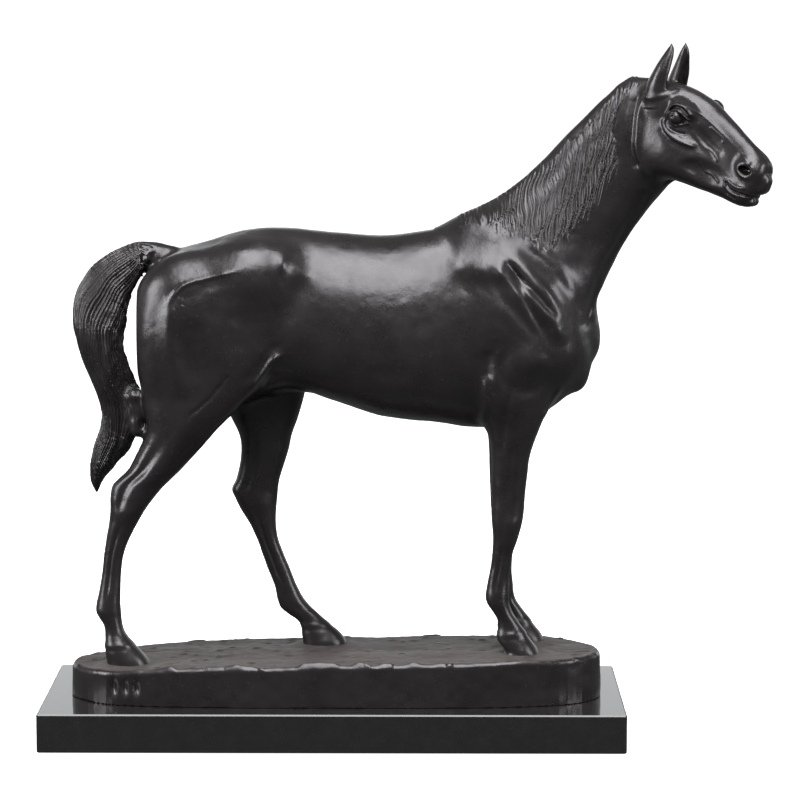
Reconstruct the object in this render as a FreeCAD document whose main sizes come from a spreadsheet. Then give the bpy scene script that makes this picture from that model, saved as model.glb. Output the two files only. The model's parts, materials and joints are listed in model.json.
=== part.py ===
"""Bronze horse statuette on a stone plinth, as a parametric document.

The horse is cast in hollow and solid sections that are pinned and welded together, stands on a hollow
bronze ground casting, and that casting is bolted to a polished stone plinth with a felt underside.
Millimetres, +Z up, the horse faces +X, and the origin is the centre of the felt's underside.
"""
import FreeCAD, Part

import math
import os

import Sketcher

App = FreeCAD
Vector = FreeCAD.Vector
Z_AXIS = Vector(0, 0, 1)

# ---------------------------------------------------------------- driving dimensions (cells of the sheet)
SIZES = {
    "felt_thickness": 1.0,
    "felt_inset": 5.0,
    "plinth_length": 300.0,
    "plinth_width": 120.0,
    "plinth_thickness": 20.0,
    "arris": 0.7,
    "ground_length": 275.0,
    "ground_width": 92.0,
    "ground_height": 30.0,
    "ground_draft": 2.5,
    "ground_wall": 4.5,
    "ground_low_z": 39.3,
    "ground_low_x": -106.0,
    "ground_slope": 1.5,
    "boss_radius": 7.0,
    "bolt_radius": 3.0,
    "bolt_length": 26.0,
    "bolt_head_radius": 5.0,
    "bolt_head_height": 6.0,
    "bolt_socket": 5.0,
    "bolt_hole_radius": 3.3,
    "counterbore_radius": 7.5,
    "counterbore_depth": 8.5,
    "washer_radius": 6.5,
    "washer_thickness": 1.2,
    "bolt_row_back": -65.0,
    "bolt_row_front": 50.0,
    "bolt_row_side": 26.0,
    "stud_radius": 2.5,
    "stud_in_hoof": 8.0,
    "hoof_washer_radius": 5.0,
    "hoof_washer_thickness": 1.0,
    "nut_flats": 8.0,
    "nut_height": 4.0,
    "stud_end": 1.5,
    "casting_wall": 4.5,
    "leg_joint_z": 150.0,
    "dowel_radius": 2.5,
    "dowel_half": 9.0,
    "sleeve_half": 7.0,
    "sleeve_wall": 2.5,
    "neck_pin_radius": 1.2,
    "lump_radius": 8.5,
    "tail_dowel_radius": 2.0,
    "tail_dowel_half": 7.0,
    "core_plug_radius": 3.0,
    "plug_depth": 4.6,
    "plug_sunk": 0.8,
}

# ---------------------------------------------------------------- the horse's outlines
# Trunk stations: x, top z, bottom z, half width, from the buttocks to the breast.
TRUNK = [
    (-98.0, 226, 200, 16),
    (-93.0, 243, 182, 28),
    (-82.0, 254.5, 172, 34),
    (-65.0, 258.5, 172, 37),
    (-45.0, 264.2, 177, 37),
    (-25.0, 265.0, 180, 34),
    (0.0, 262, 175.5, 35),
    (25.0, 260.5, 167.5, 36.5),
    (50.0, 264, 164, 35.5),
    (75.0, 270, 160.5, 33),
    (95.0, 268, 163, 31.5),
    (112.0, 252, 169, 28.5),
    (124.0, 232, 182, 22),
    (130.5, 213, 198, 12),
]
# Neck stations: crest point x and z, throat point x and z, half width, sideways shift.
NECK = [
    (66, 268, 124, 205, 28, 0.0),
    (88, 281, 137, 226, 22, 0.0),
    (105, 291.5, 144, 241, 18.5, 0.0),
    (120, 304.5, 150, 254, 16.5, -1.0),
    (133, 318, 156, 266, 15, -3.0),
    (146, 332, 162, 280, 13.5, -5.5),
    (155, 340, 167.5, 292, 13, -7.0),
]
NECK_JOINT = 1  # the neck is welded on at this station
# Head stations in its own upright plane: top h and z, bottom h and z, half width.
HEAD = [
    (-4, 340.5, -7, 306, 12.0),
    (9, 341.0, -3, 296.5, 13.5),
    (22, 337, 9, 291.5, 15.5),
    (34, 330, 21, 289.5, 14.2),
    (44, 322, 32, 286.8, 11.5),
    (54, 313.5, 43, 284.5, 9.5),
    (63, 305, 52, 281, 8.8),
    (70, 298.5, 61, 279.8, 8.6),
    (73.5, 293.5, 68, 281.5, 7.0),
    (74.3, 290.5, 72, 285.5, 4.0),
]
HEAD_PIVOT = (161.0, -7.0)
HEAD_TURN = 36.0
# Ear stations from root to tip: h, sideways, z, radius along the head, radius across.
EAR = [
    (8.5, 9.5, 331, 5.5, 3.5),
    (10.5, 9.5, 339, 4.8, 3.4),
    (12.5, 8.5, 347, 3.9, 2.8),
    (14.5, 6.5, 353.5, 2.6, 1.9),
    (15.6, 5.3, 358, 0.7, 0.7),
]
# Leg stations: z, back x, front x, sideways centre, half width. Each runs from inside the trunk to the sole.
LEGS = {
    "right_hind_leg": [
        (232, -94, -52, -17, 17),
        (210, -99.3, -47, -18.5, 18.5),
        (190, -98.4, -37, -20.5, 17.5),
        (175, -97.4, -47, -20.8, 15),
        (160, -96.5, -61, -20.2, 12.5),
        (150, -100.7, -70, -19.8, 10.5),
        (140, -106.2, -80.3, -19.5, 8.8),
        (132, -113.6, -88, -19.3, 7.5),
        (125, -114.9, -93.5, -19.2, 7.2),
        (117, -115.3, -98.8, -19.2, 6.9),
        (108, -116.1, -103.2, -19.2, 5.8),
        (98, -117.8, -107.6, -19.3, 4.6),
        (85, -119.6, -109.7, -19.5, 4.2),
        (76, -121.3, -110, -19.8, 4.8),
        (69, -122.6, -110, -20, 5.6),
        (63, -120.5, -109.8, -20.3, 5.1),
        (57, -118.2, -108.2, -20.8, 5.0),
        (52, -118.4, -105, -21, 6.6),
        (46, -118.4, -100.5, -21, 7.8),
        (38, -117, -94.5, -21, 8.8),
    ],
    "left_hind_leg": [
        (232, -72, -26, 17, 17),
        (210, -73, -20, 19.5, 17.5),
        (190, -69, -16, 21, 16),
        (178, -63, -16, 21, 14.5),
        (165, -56, -18.5, 20.6, 12.6),
        (150, -49.6, -23.4, 20.2, 10.3),
        (140, -49.7, -26, 20, 8.8),
        (131, -51.8, -28.8, 19.8, 7.7),
        (123.5, -54.4, -30.2, 19.7, 7.3),
        (115, -50.6, -31, 19.7, 7.1),
        (106, -45.2, -31, 19.7, 6.1),
        (97, -41, -29.7, 19.8, 4.8),
        (85, -36.5, -25.3, 20, 4.2),
        (75, -33.2, -21.2, 20.3, 4.6),
        (66, -30.6, -16.8, 20.6, 5.3),
        (60, -28, -12, 20.9, 5.3),
        (54.5, -20.8, -5.8, 21.2, 5.0),
        (50, -18.5, -0.8, 21.4, 6.4),
        (46, -18.2, 3.8, 21.6, 7.7),
        (40.5, -17, 6.5, 21.6, 8.7),
    ],
    "right_fore_leg": [
        (205, 84, 116, -16, 12.5),
        (182, 79.5, 110, -17.5, 12.5),
        (165, 80.2, 106.5, -17.5, 11),
        (150, 81.4, 102, -17, 9.5),
        (135, 81.3, 99.8, -16.7, 8.2),
        (122, 81.5, 98.5, -16.5, 7.3),
        (113, 81.7, 97.7, -16.5, 7.1),
        (106, 82.2, 96, -16.5, 6.6),
        (98, 82.3, 93.2, -16.5, 5.2),
        (88, 81, 91.3, -16.5, 4.1),
        (80, 79.3, 90.6, -16.5, 4.5),
        (74, 78.8, 90.9, -16.5, 5.3),
        (68, 80.8, 91.9, -16.6, 5.1),
        (62, 84.8, 94.8, -16.8, 4.5),
        (56.5, 84.8, 98.8, -17, 6.0),
        (52, 84.2, 102, -17, 7.2),
        (43.5, 87.5, 107, -17, 8.5),
    ],
    "left_fore_leg": [
        (205, 84, 116, 16, 12.5),
        (182, 79.5, 110, 17.5, 12.5),
        (165, 80.2, 106.5, 17.5, 11),
        (150, 81.2, 101.8, 17, 9.5),
        (135, 81.3, 99.8, 16.7, 8.2),
        (122, 81.6, 98.7, 16.5, 7.3),
        (113, 82.5, 98.3, 16.5, 7.1),
        (106, 83.2, 97, 16.5, 6.6),
        (98, 83.6, 94.6, 16.5, 5.2),
        (88, 83.2, 93.6, 16.5, 4.1),
        (80, 82.2, 93.4, 16.5, 4.5),
        (73, 82, 94.2, 16.5, 5.3),
        (67, 84.5, 95.4, 16.6, 5.1),
        (61, 88.5, 98, 16.8, 4.5),
        (55.5, 89, 102, 17, 6.0),
        (51, 88, 105.2, 17, 7.2),
        (43.5, 92, 110.5, 17, 8.5),
    ],
}
# Where each hoof's stud stands and where each leg's dowel stands: x, y.
STUDS = {
    "right_hind_leg": (-109.0, -21.0),
    "left_hind_leg": (-8.5, 21.5),
    "right_fore_leg": (94.0, -17.0),
    "left_fore_leg": (98.5, 17.0),
}
DOWELS = {
    "right_hind_leg": (-86.0, -20.0),
    "left_hind_leg": (-37.0, 20.0),
    "right_fore_leg": (91.0, -17.0),
    "left_fore_leg": (91.0, 17.0),
}
# Tail stations along its centreline: x, z, radius in the plane of the curve, radius across.
TAIL = [
    (-86, 248.5, 6.5, 6.5),
    (-100, 250, 7.3, 7.5),
    (-110, 245.5, 9.3, 8.8),
    (-118, 236, 11.2, 10),
    (-122, 223, 12.3, 11),
    (-122, 209, 12.2, 11.2),
    (-118.5, 195, 10.8, 10.5),
    (-112.5, 181, 9.8, 10),
    (-109, 170, 10.8, 9.5),
    (-111, 159, 9.4, 8),
    (-117, 149, 7.0, 6),
    (-121.5, 140, 4.6, 4.2),
    (-123.2, 132, 2.4, 2.4),
    (-123.2, 127.6, 0.8, 0.8),
]
TAIL_SIDE = -7.0  # the switch hangs this far to the right of the spine
TAIL_TOUCH = (-102, -11.9, 169)  # centre of the lump that joins the tail to the right thigh
TOUCH_DOWEL = ((-106, -12, 169), (-90, -17, 169))
CORE_PLUGS = [(10.0, 0.0, -1), (55.0, 0.0, -1), (-10.0, 0.0, 1)]  # x, y, and below (-1) or above (1)


# ---------------------------------------------------------------- shape helpers
def egg_wire(centre, side, up, half_side, half_up, half_down, fullness=0.73):
    """Closed smooth outline from its lowest point, widest at centre; side and up are unit vectors."""
    pts = []
    for s, u in ((0, -1), (fullness, -fullness), (1, 0), (fullness, fullness),
                 (0, 1), (-fullness, fullness), (-1, 0), (-fullness, -fullness)):
        reach = half_up if u > 0 else half_down
        pts.append(centre + side * (s * half_side) + up * (u * reach))
    curve = Part.BSplineCurve()
    curve.interpolate(pts, PeriodicFlag=True)
    return Part.Wire([curve.toShape()])


def loft(wires):
    """Smooth closed solid through the wires."""
    solid = Part.makeLoft(wires, True, False)
    if solid.Volume < 0:
        solid.reverse()
    return solid


def half_space(point, direction, reach=400.0):
    """Big box on the side of the plane that direction points to."""
    box = Part.makeBox(reach, reach, reach, Vector(-reach / 2, -reach / 2, 0))
    box.Placement = App.Placement(point, App.Rotation(Z_AXIS, direction))
    return box


def trunk_wires(inset=0.0):
    wires = []
    for x, top, bottom, half in TRUNK:
        height, width = top - bottom - 2 * inset, half - inset
        if min(height, width) < 8 and inset:
            continue
        middle = (top + bottom) / 2 - 0.04 * height
        up = top - inset - middle
        down = middle - bottom - inset
        wires.append(egg_wire(Vector(x, 0, middle), Vector(0, 1, 0), Z_AXIS, width, up, down))
    return wires


def neck_wires(inset=0.0, last=None):
    wires = []
    for tx, tz, bx, bz, half, shift in NECK[:last]:
        top, bottom = Vector(tx, shift, tz), Vector(bx, shift, bz)
        up = (top - bottom).normalize()
        reach = (top - bottom).Length / 2 - inset
        wires.append(egg_wire((top + bottom) / 2, Vector(0, 1, 0), up, half - inset, reach, reach, 0.7))
    return wires


def head_point(h, side, z):
    """A point of the head's own frame: h forward, side to the horse's left, z up."""
    turn = math.radians(HEAD_TURN)
    return Vector(HEAD_PIVOT[0] + h * math.cos(turn) + side * math.sin(turn),
                  HEAD_PIVOT[1] - h * math.sin(turn) + side * math.cos(turn), z)


def head_wires():
    across = head_point(0, 1, 0) - head_point(0, 0, 0)
    wires = []
    for th, tz, bh, bz, half in HEAD:
        top, bottom = head_point(th, 0, tz), head_point(bh, 0, bz)
        up = (top - bottom).normalize()
        reach = (top - bottom).Length / 2
        wires.append(egg_wire((top + bottom) / 2, across, up, half, reach, reach, 0.7))
    return wires


def ear(side):
    across = head_point(0, 1, 0) - head_point(0, 0, 0)
    forward = head_point(1, 0, 0) - head_point(0, 0, 0)
    return loft([egg_wire(head_point(h, side * s, z), across, forward, b, a, a, 0.7)
                 for h, s, z, a, b in EAR])


def leg_solid(stations):
    wires = []
    for z, back, front, side, half in stations:
        reach = (front - back) / 2
        centre = Vector((front + back) / 2, side, z)
        outward = Vector(0, math.copysign(1, side), 0)
        wires.append(egg_wire(centre, Vector(1, 0, 0), outward, reach, half, half, 0.72))
    return loft(wires)


def tail_solid():
    wires = []
    for i, (x, z, in_plane, across) in enumerate(TAIL):
        before, after = TAIL[max(i - 1, 0)], TAIL[min(i + 1, len(TAIL) - 1)]
        along = Vector(after[0] - before[0], 0, after[1] - before[1]).normalize()
        outward = Vector(along.z, 0, -along.x)
        swing = TAIL_SIDE * min(1.0, max(0.0, (-100 - x) / 15.0))
        wires.append(egg_wire(Vector(x, swing, z), Vector(0, 1, 0), outward, across, in_plane, in_plane, 0.7))
    return loft(wires)


def peg(radius, start, end):
    """Round rod from start to end."""
    return Part.makeCylinder(radius, (end - start).Length, start, end - start)


def feature(doc, label, shape):
    """Stores a computed solid as a labelled part of the document."""
    item = doc.addObject("Part::Feature", label)
    item.Label = label
    item.Shape = shape
    return item


# ---------------------------------------------------------------- document helpers
def make_sheet(doc):
    sheet = doc.addObject("Spreadsheet::Sheet", "sizes")
    for row, (name, value) in enumerate(SIZES.items(), start=1):
        sheet.set(f"A{row}", name)
        sheet.set(f"B{row}", str(value))
        sheet.setAlias(f"B{row}", name)
    doc.recompute()
    return sheet


def plane_of(body, role):
    return next(f for f in body.Origin.OriginFeatures if f.Role == role)


def new_sketch(body, name, lift=None):
    """Sketch on the body's XY plane, raised by the expression lift."""
    sketch = body.newObject("Sketcher::SketchObject", name)
    sketch.AttachmentSupport = [(plane_of(body, "XY_Plane"), "")]
    sketch.MapMode = "FlatFace"
    if lift:
        sketch.setExpression("AttachmentOffset.Base.z", lift)
    return sketch


def rectangle(sketch, length, width):
    """Rectangle centred on the origin; length and width are expressions."""
    corners = [Vector(-10, -5, 0), Vector(10, -5, 0), Vector(10, 5, 0), Vector(-10, 5, 0)]
    for i in range(4):
        sketch.addGeometry(Part.LineSegment(corners[i], corners[(i + 1) % 4]))
    for i in range(4):
        sketch.addConstraint(Sketcher.Constraint("Coincident", i, 2, (i + 1) % 4, 1))
    for i, kind in enumerate(("Horizontal", "Vertical", "Horizontal", "Vertical")):
        sketch.addConstraint(Sketcher.Constraint(kind, i))
    sketch.addConstraint(Sketcher.Constraint("Symmetric", 0, 1, 2, 1, -1, 1))
    long_side = sketch.addConstraint(Sketcher.Constraint("DistanceX", 0, 1, 0, 2, 20))
    short_side = sketch.addConstraint(Sketcher.Constraint("DistanceY", 1, 1, 1, 2, 10))
    sketch.setExpression(f"Constraints[{long_side}]", length)
    sketch.setExpression(f"Constraints[{short_side}]", width)


def bolt_circles(sketch, radius):
    """The four bolt positions as circles of one radius."""
    for x_cell in ("bolt_row_back", "bolt_row_front"):
        for sign in (-1, 1):
            x = SIZES[x_cell]
            y = sign * SIZES["bolt_row_side"]
            i = sketch.addGeometry(Part.Circle(Vector(x, y, 0), Z_AXIS, SIZES[radius]))
            # a distance has no sign in a sketch, so each is measured from the origin towards the circle
            ends = (-1, 1, i, 3) if x > 0 else (i, 3, -1, 1)
            cx = sketch.addConstraint(Sketcher.Constraint("DistanceX", *ends, abs(x)))
            ends = (-1, 1, i, 3) if y > 0 else (i, 3, -1, 1)
            cy = sketch.addConstraint(Sketcher.Constraint("DistanceY", *ends, abs(y)))
            cr = sketch.addConstraint(Sketcher.Constraint("Radius", i, SIZES[radius]))
            sketch.setExpression(f"Constraints[{cx}]", f"abs(sizes.{x_cell})")
            sketch.setExpression(f"Constraints[{cy}]", "sizes.bolt_row_side")
            sketch.setExpression(f"Constraints[{cr}]", f"sizes.{radius}")


def pad(body, sketch, length):
    item = body.newObject("PartDesign::Pad", sketch.Name + "_pad")
    item.Profile = sketch
    item.setExpression("Length", length)
    return item


def pocket_up(body, sketch, depth):
    """Cuts the sketch upwards, along +Z."""
    item = body.newObject("PartDesign::Pocket", sketch.Name + "_pocket")
    item.Profile = sketch
    item.Reversed = True
    item.setExpression("Length", depth)
    return item


# ---------------------------------------------------------------- stone plinth and felt
def make_felt(doc):
    body = doc.addObject("PartDesign::Body", "felt_pad")
    body.Label = "felt_pad"
    sketch = new_sketch(body, "felt_outline")
    inset = "2 * sizes.felt_inset"
    rectangle(sketch, f"sizes.plinth_length - {inset}", f"sizes.plinth_width - {inset}")
    pad(body, sketch, "sizes.felt_thickness")
    return body


def make_plinth(doc):
    body = doc.addObject("PartDesign::Body", "stone_plinth")
    body.Label = "stone_plinth"
    outline = new_sketch(body, "plinth_outline", "sizes.felt_thickness")
    rectangle(outline, "sizes.plinth_length", "sizes.plinth_width")
    slab = pad(body, outline, "sizes.plinth_thickness")
    doc.recompute()
    edges = body.newObject("PartDesign::Chamfer", "plinth_arris")
    edges.Base = (slab, [f"Edge{i + 1}" for i in range(len(slab.Shape.Edges))])
    edges.setExpression("Size", "sizes.arris")
    doc.recompute()
    holes = new_sketch(body, "bolt_holes", "sizes.felt_thickness")
    bolt_circles(holes, "bolt_hole_radius")
    pocket_up(body, holes, "sizes.plinth_thickness")
    sinks = new_sketch(body, "counterbores", "sizes.felt_thickness")
    bolt_circles(sinks, "counterbore_radius")
    pocket_up(body, sinks, "sizes.counterbore_depth")
    return body


def bolt_places():
    return [(x, sign * SIZES["bolt_row_side"])
            for x in (SIZES["bolt_row_back"], SIZES["bolt_row_front"]) for sign in (-1, 1)]


def group(doc, label, items):
    """One node that holds several separate solids."""
    doc.recompute()
    holder = doc.addObject("Part::Compound", label)
    holder.Label = label
    holder.Links = items
    return holder


def rod(doc, name, radius, height, x, y, z_expression):
    """Upright Part cylinder with its sizes and height bound to the sheet."""
    item = doc.addObject("Part::Cylinder", name)
    item.setExpression("Radius", radius)
    item.setExpression("Height", height)
    item.Placement.Base = Vector(x, y, 0)
    item.setExpression("Placement.Base.z", z_expression)
    return item


def hexagon(doc, name, flats, height, x, y, z_expression):
    item = doc.addObject("Part::Prism", name)
    item.Polygon = 6
    item.setExpression("Circumradius", f"{flats} / 2 / cos(30 deg)")
    item.setExpression("Height", height)
    item.Placement.Base = Vector(x, y, 0)
    item.setExpression("Placement.Base.z", z_expression)
    return item


def cut(doc, name, base, tool):
    item = doc.addObject("Part::Cut", name)
    item.Base = base
    item.Tool = tool
    return item


def fuse(doc, name, items):
    item = doc.addObject("Part::MultiFuse", name)
    item.Shapes = items
    return item


def make_plinth_bolts(doc):
    """Socket head bolts pushed up through the slab, heads in the counterbores on their washers."""
    seat = "sizes.felt_thickness + sizes.counterbore_depth"
    under_head = f"{seat} - sizes.washer_thickness"
    bolts, washers = [], []
    for i, (x, y) in enumerate(bolt_places()):
        shank = rod(doc, f"shank_{i}", "sizes.bolt_radius", "sizes.bolt_length", x, y, under_head)
        head = rod(doc, f"head_{i}", "sizes.bolt_head_radius", "sizes.bolt_head_height", x, y,
                   f"{under_head} - sizes.bolt_head_height")
        socket = hexagon(doc, f"socket_{i}", "sizes.bolt_socket", "sizes.bolt_head_height / 2", x, y,
                         f"{under_head} - sizes.bolt_head_height")
        bolts.append(cut(doc, f"bolt_{i}", fuse(doc, f"blank_{i}", [shank, head]), socket))
        disc = rod(doc, f"disc_{i}", "sizes.washer_radius", "sizes.washer_thickness", x, y, under_head)
        eye = rod(doc, f"eye_{i}", "sizes.bolt_hole_radius", "sizes.washer_thickness", x, y, under_head)
        washers.append(cut(doc, f"washer_{i}", disc, eye))
    return group(doc, "plinth_bolts", bolts), group(doc, "plinth_washers", washers)


# ---------------------------------------------------------------- bronze ground
def stadium(doc, name, length, width):
    """Sketch of a round-ended outline; length and width are expressions."""
    sketch = doc.addObject("Sketcher::SketchObject", name)
    half = (SIZES["ground_length"] - SIZES["ground_width"]) / 2
    radius = SIZES["ground_width"] / 2
    quarter = math.pi / 2
    front_end = Part.Circle(Vector(half, 0, 0), Z_AXIS, radius)
    back_end = Part.Circle(Vector(-half, 0, 0), Z_AXIS, radius)
    sketch.addGeometry(Part.LineSegment(Vector(-half, -radius, 0), Vector(half, -radius, 0)))
    sketch.addGeometry(Part.ArcOfCircle(front_end, -quarter, quarter))
    sketch.addGeometry(Part.LineSegment(Vector(half, radius, 0), Vector(-half, radius, 0)))
    sketch.addGeometry(Part.ArcOfCircle(back_end, quarter, 3 * quarter))
    for a, end, b, start in ((0, 2, 1, 1), (1, 2, 2, 1), (2, 2, 3, 1), (3, 2, 0, 1)):
        sketch.addConstraint(Sketcher.Constraint("Tangent", a, end, b, start))
    sketch.addConstraint(Sketcher.Constraint("Horizontal", 0))
    sketch.addConstraint(Sketcher.Constraint("Symmetric", 0, 1, 2, 1, -1, 1))
    span = sketch.addConstraint(Sketcher.Constraint("DistanceX", 0, 1, 0, 2, 2 * half))
    turn = sketch.addConstraint(Sketcher.Constraint("Radius", 1, radius))
    sketch.setExpression(f"Constraints[{span}]", f"{length} - {width}")
    sketch.setExpression(f"Constraints[{turn}]", f"({width}) / 2")
    sketch.setExpression("Placement.Base.z", "sizes.felt_thickness + sizes.plinth_thickness")
    return sketch


def block(doc, name, sketch, draft):
    """Upright block on a sketch, its walls leaning in by draft degrees."""
    item = doc.addObject("Part::Extrusion", name)
    item.Base = sketch
    item.DirMode = "Normal"
    item.Solid = True
    item.setExpression("LengthFwd", "sizes.ground_height")
    item.setExpression("TaperAngle", draft)
    return item


def top_cutter(doc, name, lower):
    """Big box whose underside is the sloping top of the ground, lowered by the expression lower."""
    behind = 150  # the box starts this far behind the low point, measured down the slope
    item = doc.addObject("Part::Box", name)
    item.Length, item.Width, item.Height = 400, 200, 60
    tilt = App.Rotation(Vector(0, 1, 0), -SIZES["ground_slope"])
    corner = Vector(SIZES["ground_low_x"], 0, 0) + tilt.multVec(Vector(-behind, -100, 0))
    item.Placement = App.Placement(corner, tilt)
    drop = f"{behind} * sin(sizes.ground_slope * 1 deg)"
    item.setExpression("Placement.Base.z", f"sizes.ground_low_z - {drop} - ({lower})")
    return item


def roof(x):
    """Expression for the height of the ground's sloping top at x."""
    return f"(sizes.ground_low_z + ({x} - sizes.ground_low_x) * tan(sizes.ground_slope * 1 deg))"


def make_ground(doc):
    """Hollow casting with an open underside, four tapped bosses and four stud holes."""
    outer = cut(doc, "ground_outer",
                block(doc, "ground_block", stadium(doc, "ground_outline", "sizes.ground_length",
                                                   "sizes.ground_width"), "-sizes.ground_draft"),
                top_cutter(doc, "ground_top", "0"))
    inset = "2 * sizes.ground_wall"
    inner = cut(doc, "ground_core",
                block(doc, "core_block", stadium(doc, "core_outline", f"sizes.ground_length - {inset}",
                                                 f"sizes.ground_width - {inset}"), "-sizes.ground_draft"),
                top_cutter(doc, "core_top", "sizes.ground_wall"))
    shell = cut(doc, "ground_shell", outer, inner)
    floor = "sizes.felt_thickness + sizes.plinth_thickness"
    bosses = []
    for i, (x, y) in enumerate(bolt_places()):
        rise = f"{roof(x)} - 1 - ({floor})"
        bosses.append(rod(doc, f"boss_{i}", "sizes.boss_radius", rise, x, y, floor))
    body = fuse(doc, "ground_body", [shell] + bosses)
    taps = [rod(doc, f"tap_{i}", "sizes.bolt_radius", "sizes.bolt_length", x, y,
                "sizes.felt_thickness + sizes.counterbore_depth - sizes.washer_thickness")
            for i, (x, y) in enumerate(bolt_places())]
    holes = [rod(doc, f"stud_hole_{name}", "sizes.stud_radius", "40", x, y, floor)
             for name, (x, y) in STUDS.items()]
    casting = cut(doc, "ground_casting", body, fuse(doc, "ground_holes", taps + holes))
    casting.Label = "ground_casting"
    doc.recompute()
    return casting


def make_hoof_fixings(doc):
    """Threaded studs out of the hooves, with a washer and nut inside the ground casting."""
    studs, washers, nuts = [], [], []
    thick = "sizes.hoof_washer_thickness"
    roof_wall = "sizes.ground_wall / cos(sizes.ground_slope * 1 deg)"
    for i, (x, y) in enumerate(STUDS.values()):
        # the washer bears on the sloping roof at its lowest edge
        under = f"{roof(x - SIZES['hoof_washer_radius'])} - {roof_wall}"
        seat = f"{under} - {thick}"
        foot = f"{seat} - sizes.nut_height - sizes.stud_end"
        studs.append(rod(doc, f"stud_{i}", "sizes.stud_radius", f"{roof(x)} + sizes.stud_in_hoof - ({foot})",
                         x, y, foot))
        disc = rod(doc, f"hoof_disc_{i}", "sizes.hoof_washer_radius", thick, x, y, seat)
        eye = rod(doc, f"hoof_eye_{i}", "sizes.stud_radius", thick, x, y, seat)
        washers.append(cut(doc, f"hoof_washer_{i}", disc, eye))
        low = f"{seat} - sizes.nut_height"
        blank = hexagon(doc, f"hoof_hex_{i}", "sizes.nut_flats", "sizes.nut_height", x, y, low)
        thread = rod(doc, f"hoof_thread_{i}", "sizes.stud_radius", "sizes.nut_height", x, y, low)
        nuts.append(cut(doc, f"hoof_nut_{i}", blank, thread))
    for label, items in (("hoof_studs", studs), ("hoof_washers", washers), ("hoof_nuts", nuts)):
        group(doc, label, items)


# ---------------------------------------------------------------- bronze castings of the horse
def neck_joint():
    """Centre of the neck joint and its direction along the neck."""
    tx, tz, bx, bz, _, shift = NECK[NECK_JOINT]
    top, bottom = Vector(tx, shift, tz), Vector(bx, shift, bz)
    along = (top - bottom).cross(Vector(0, 1, 0)).normalize()
    return (top + bottom) / 2, (along if along.z > 0 else along * -1)


def neck_band():
    """Thick slice of space across the neck joint, as long as the sleeve."""
    centre, along = neck_joint()
    half = SIZES["sleeve_half"]
    band = Part.makeBox(120, 120, 2 * half, Vector(-60, -60, 0))
    band.Placement = App.Placement(centre - along * half, App.Rotation(Z_AXIS, along))
    return band


def neck_pin_rods():
    """Four pins through the neck's wall and the sleeve, two each side of the crest line."""
    centre, along = neck_joint()
    tx, tz, bx, bz, half, _ = NECK[NECK_JOINT]
    up = Vector(tx - bx, 0, tz - bz).normalize()
    rods = []
    for side in (-1, 1):
        for level in (-12, 12):
            middle = centre + along * (SIZES["sleeve_half"] / 2) + up * level
            inner = middle + Vector(0, side * (half - 8.5), 0)
            rods.append(peg(SIZES["neck_pin_radius"], inner, inner + Vector(0, side * 6.5, 0)))
    return rods


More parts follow.
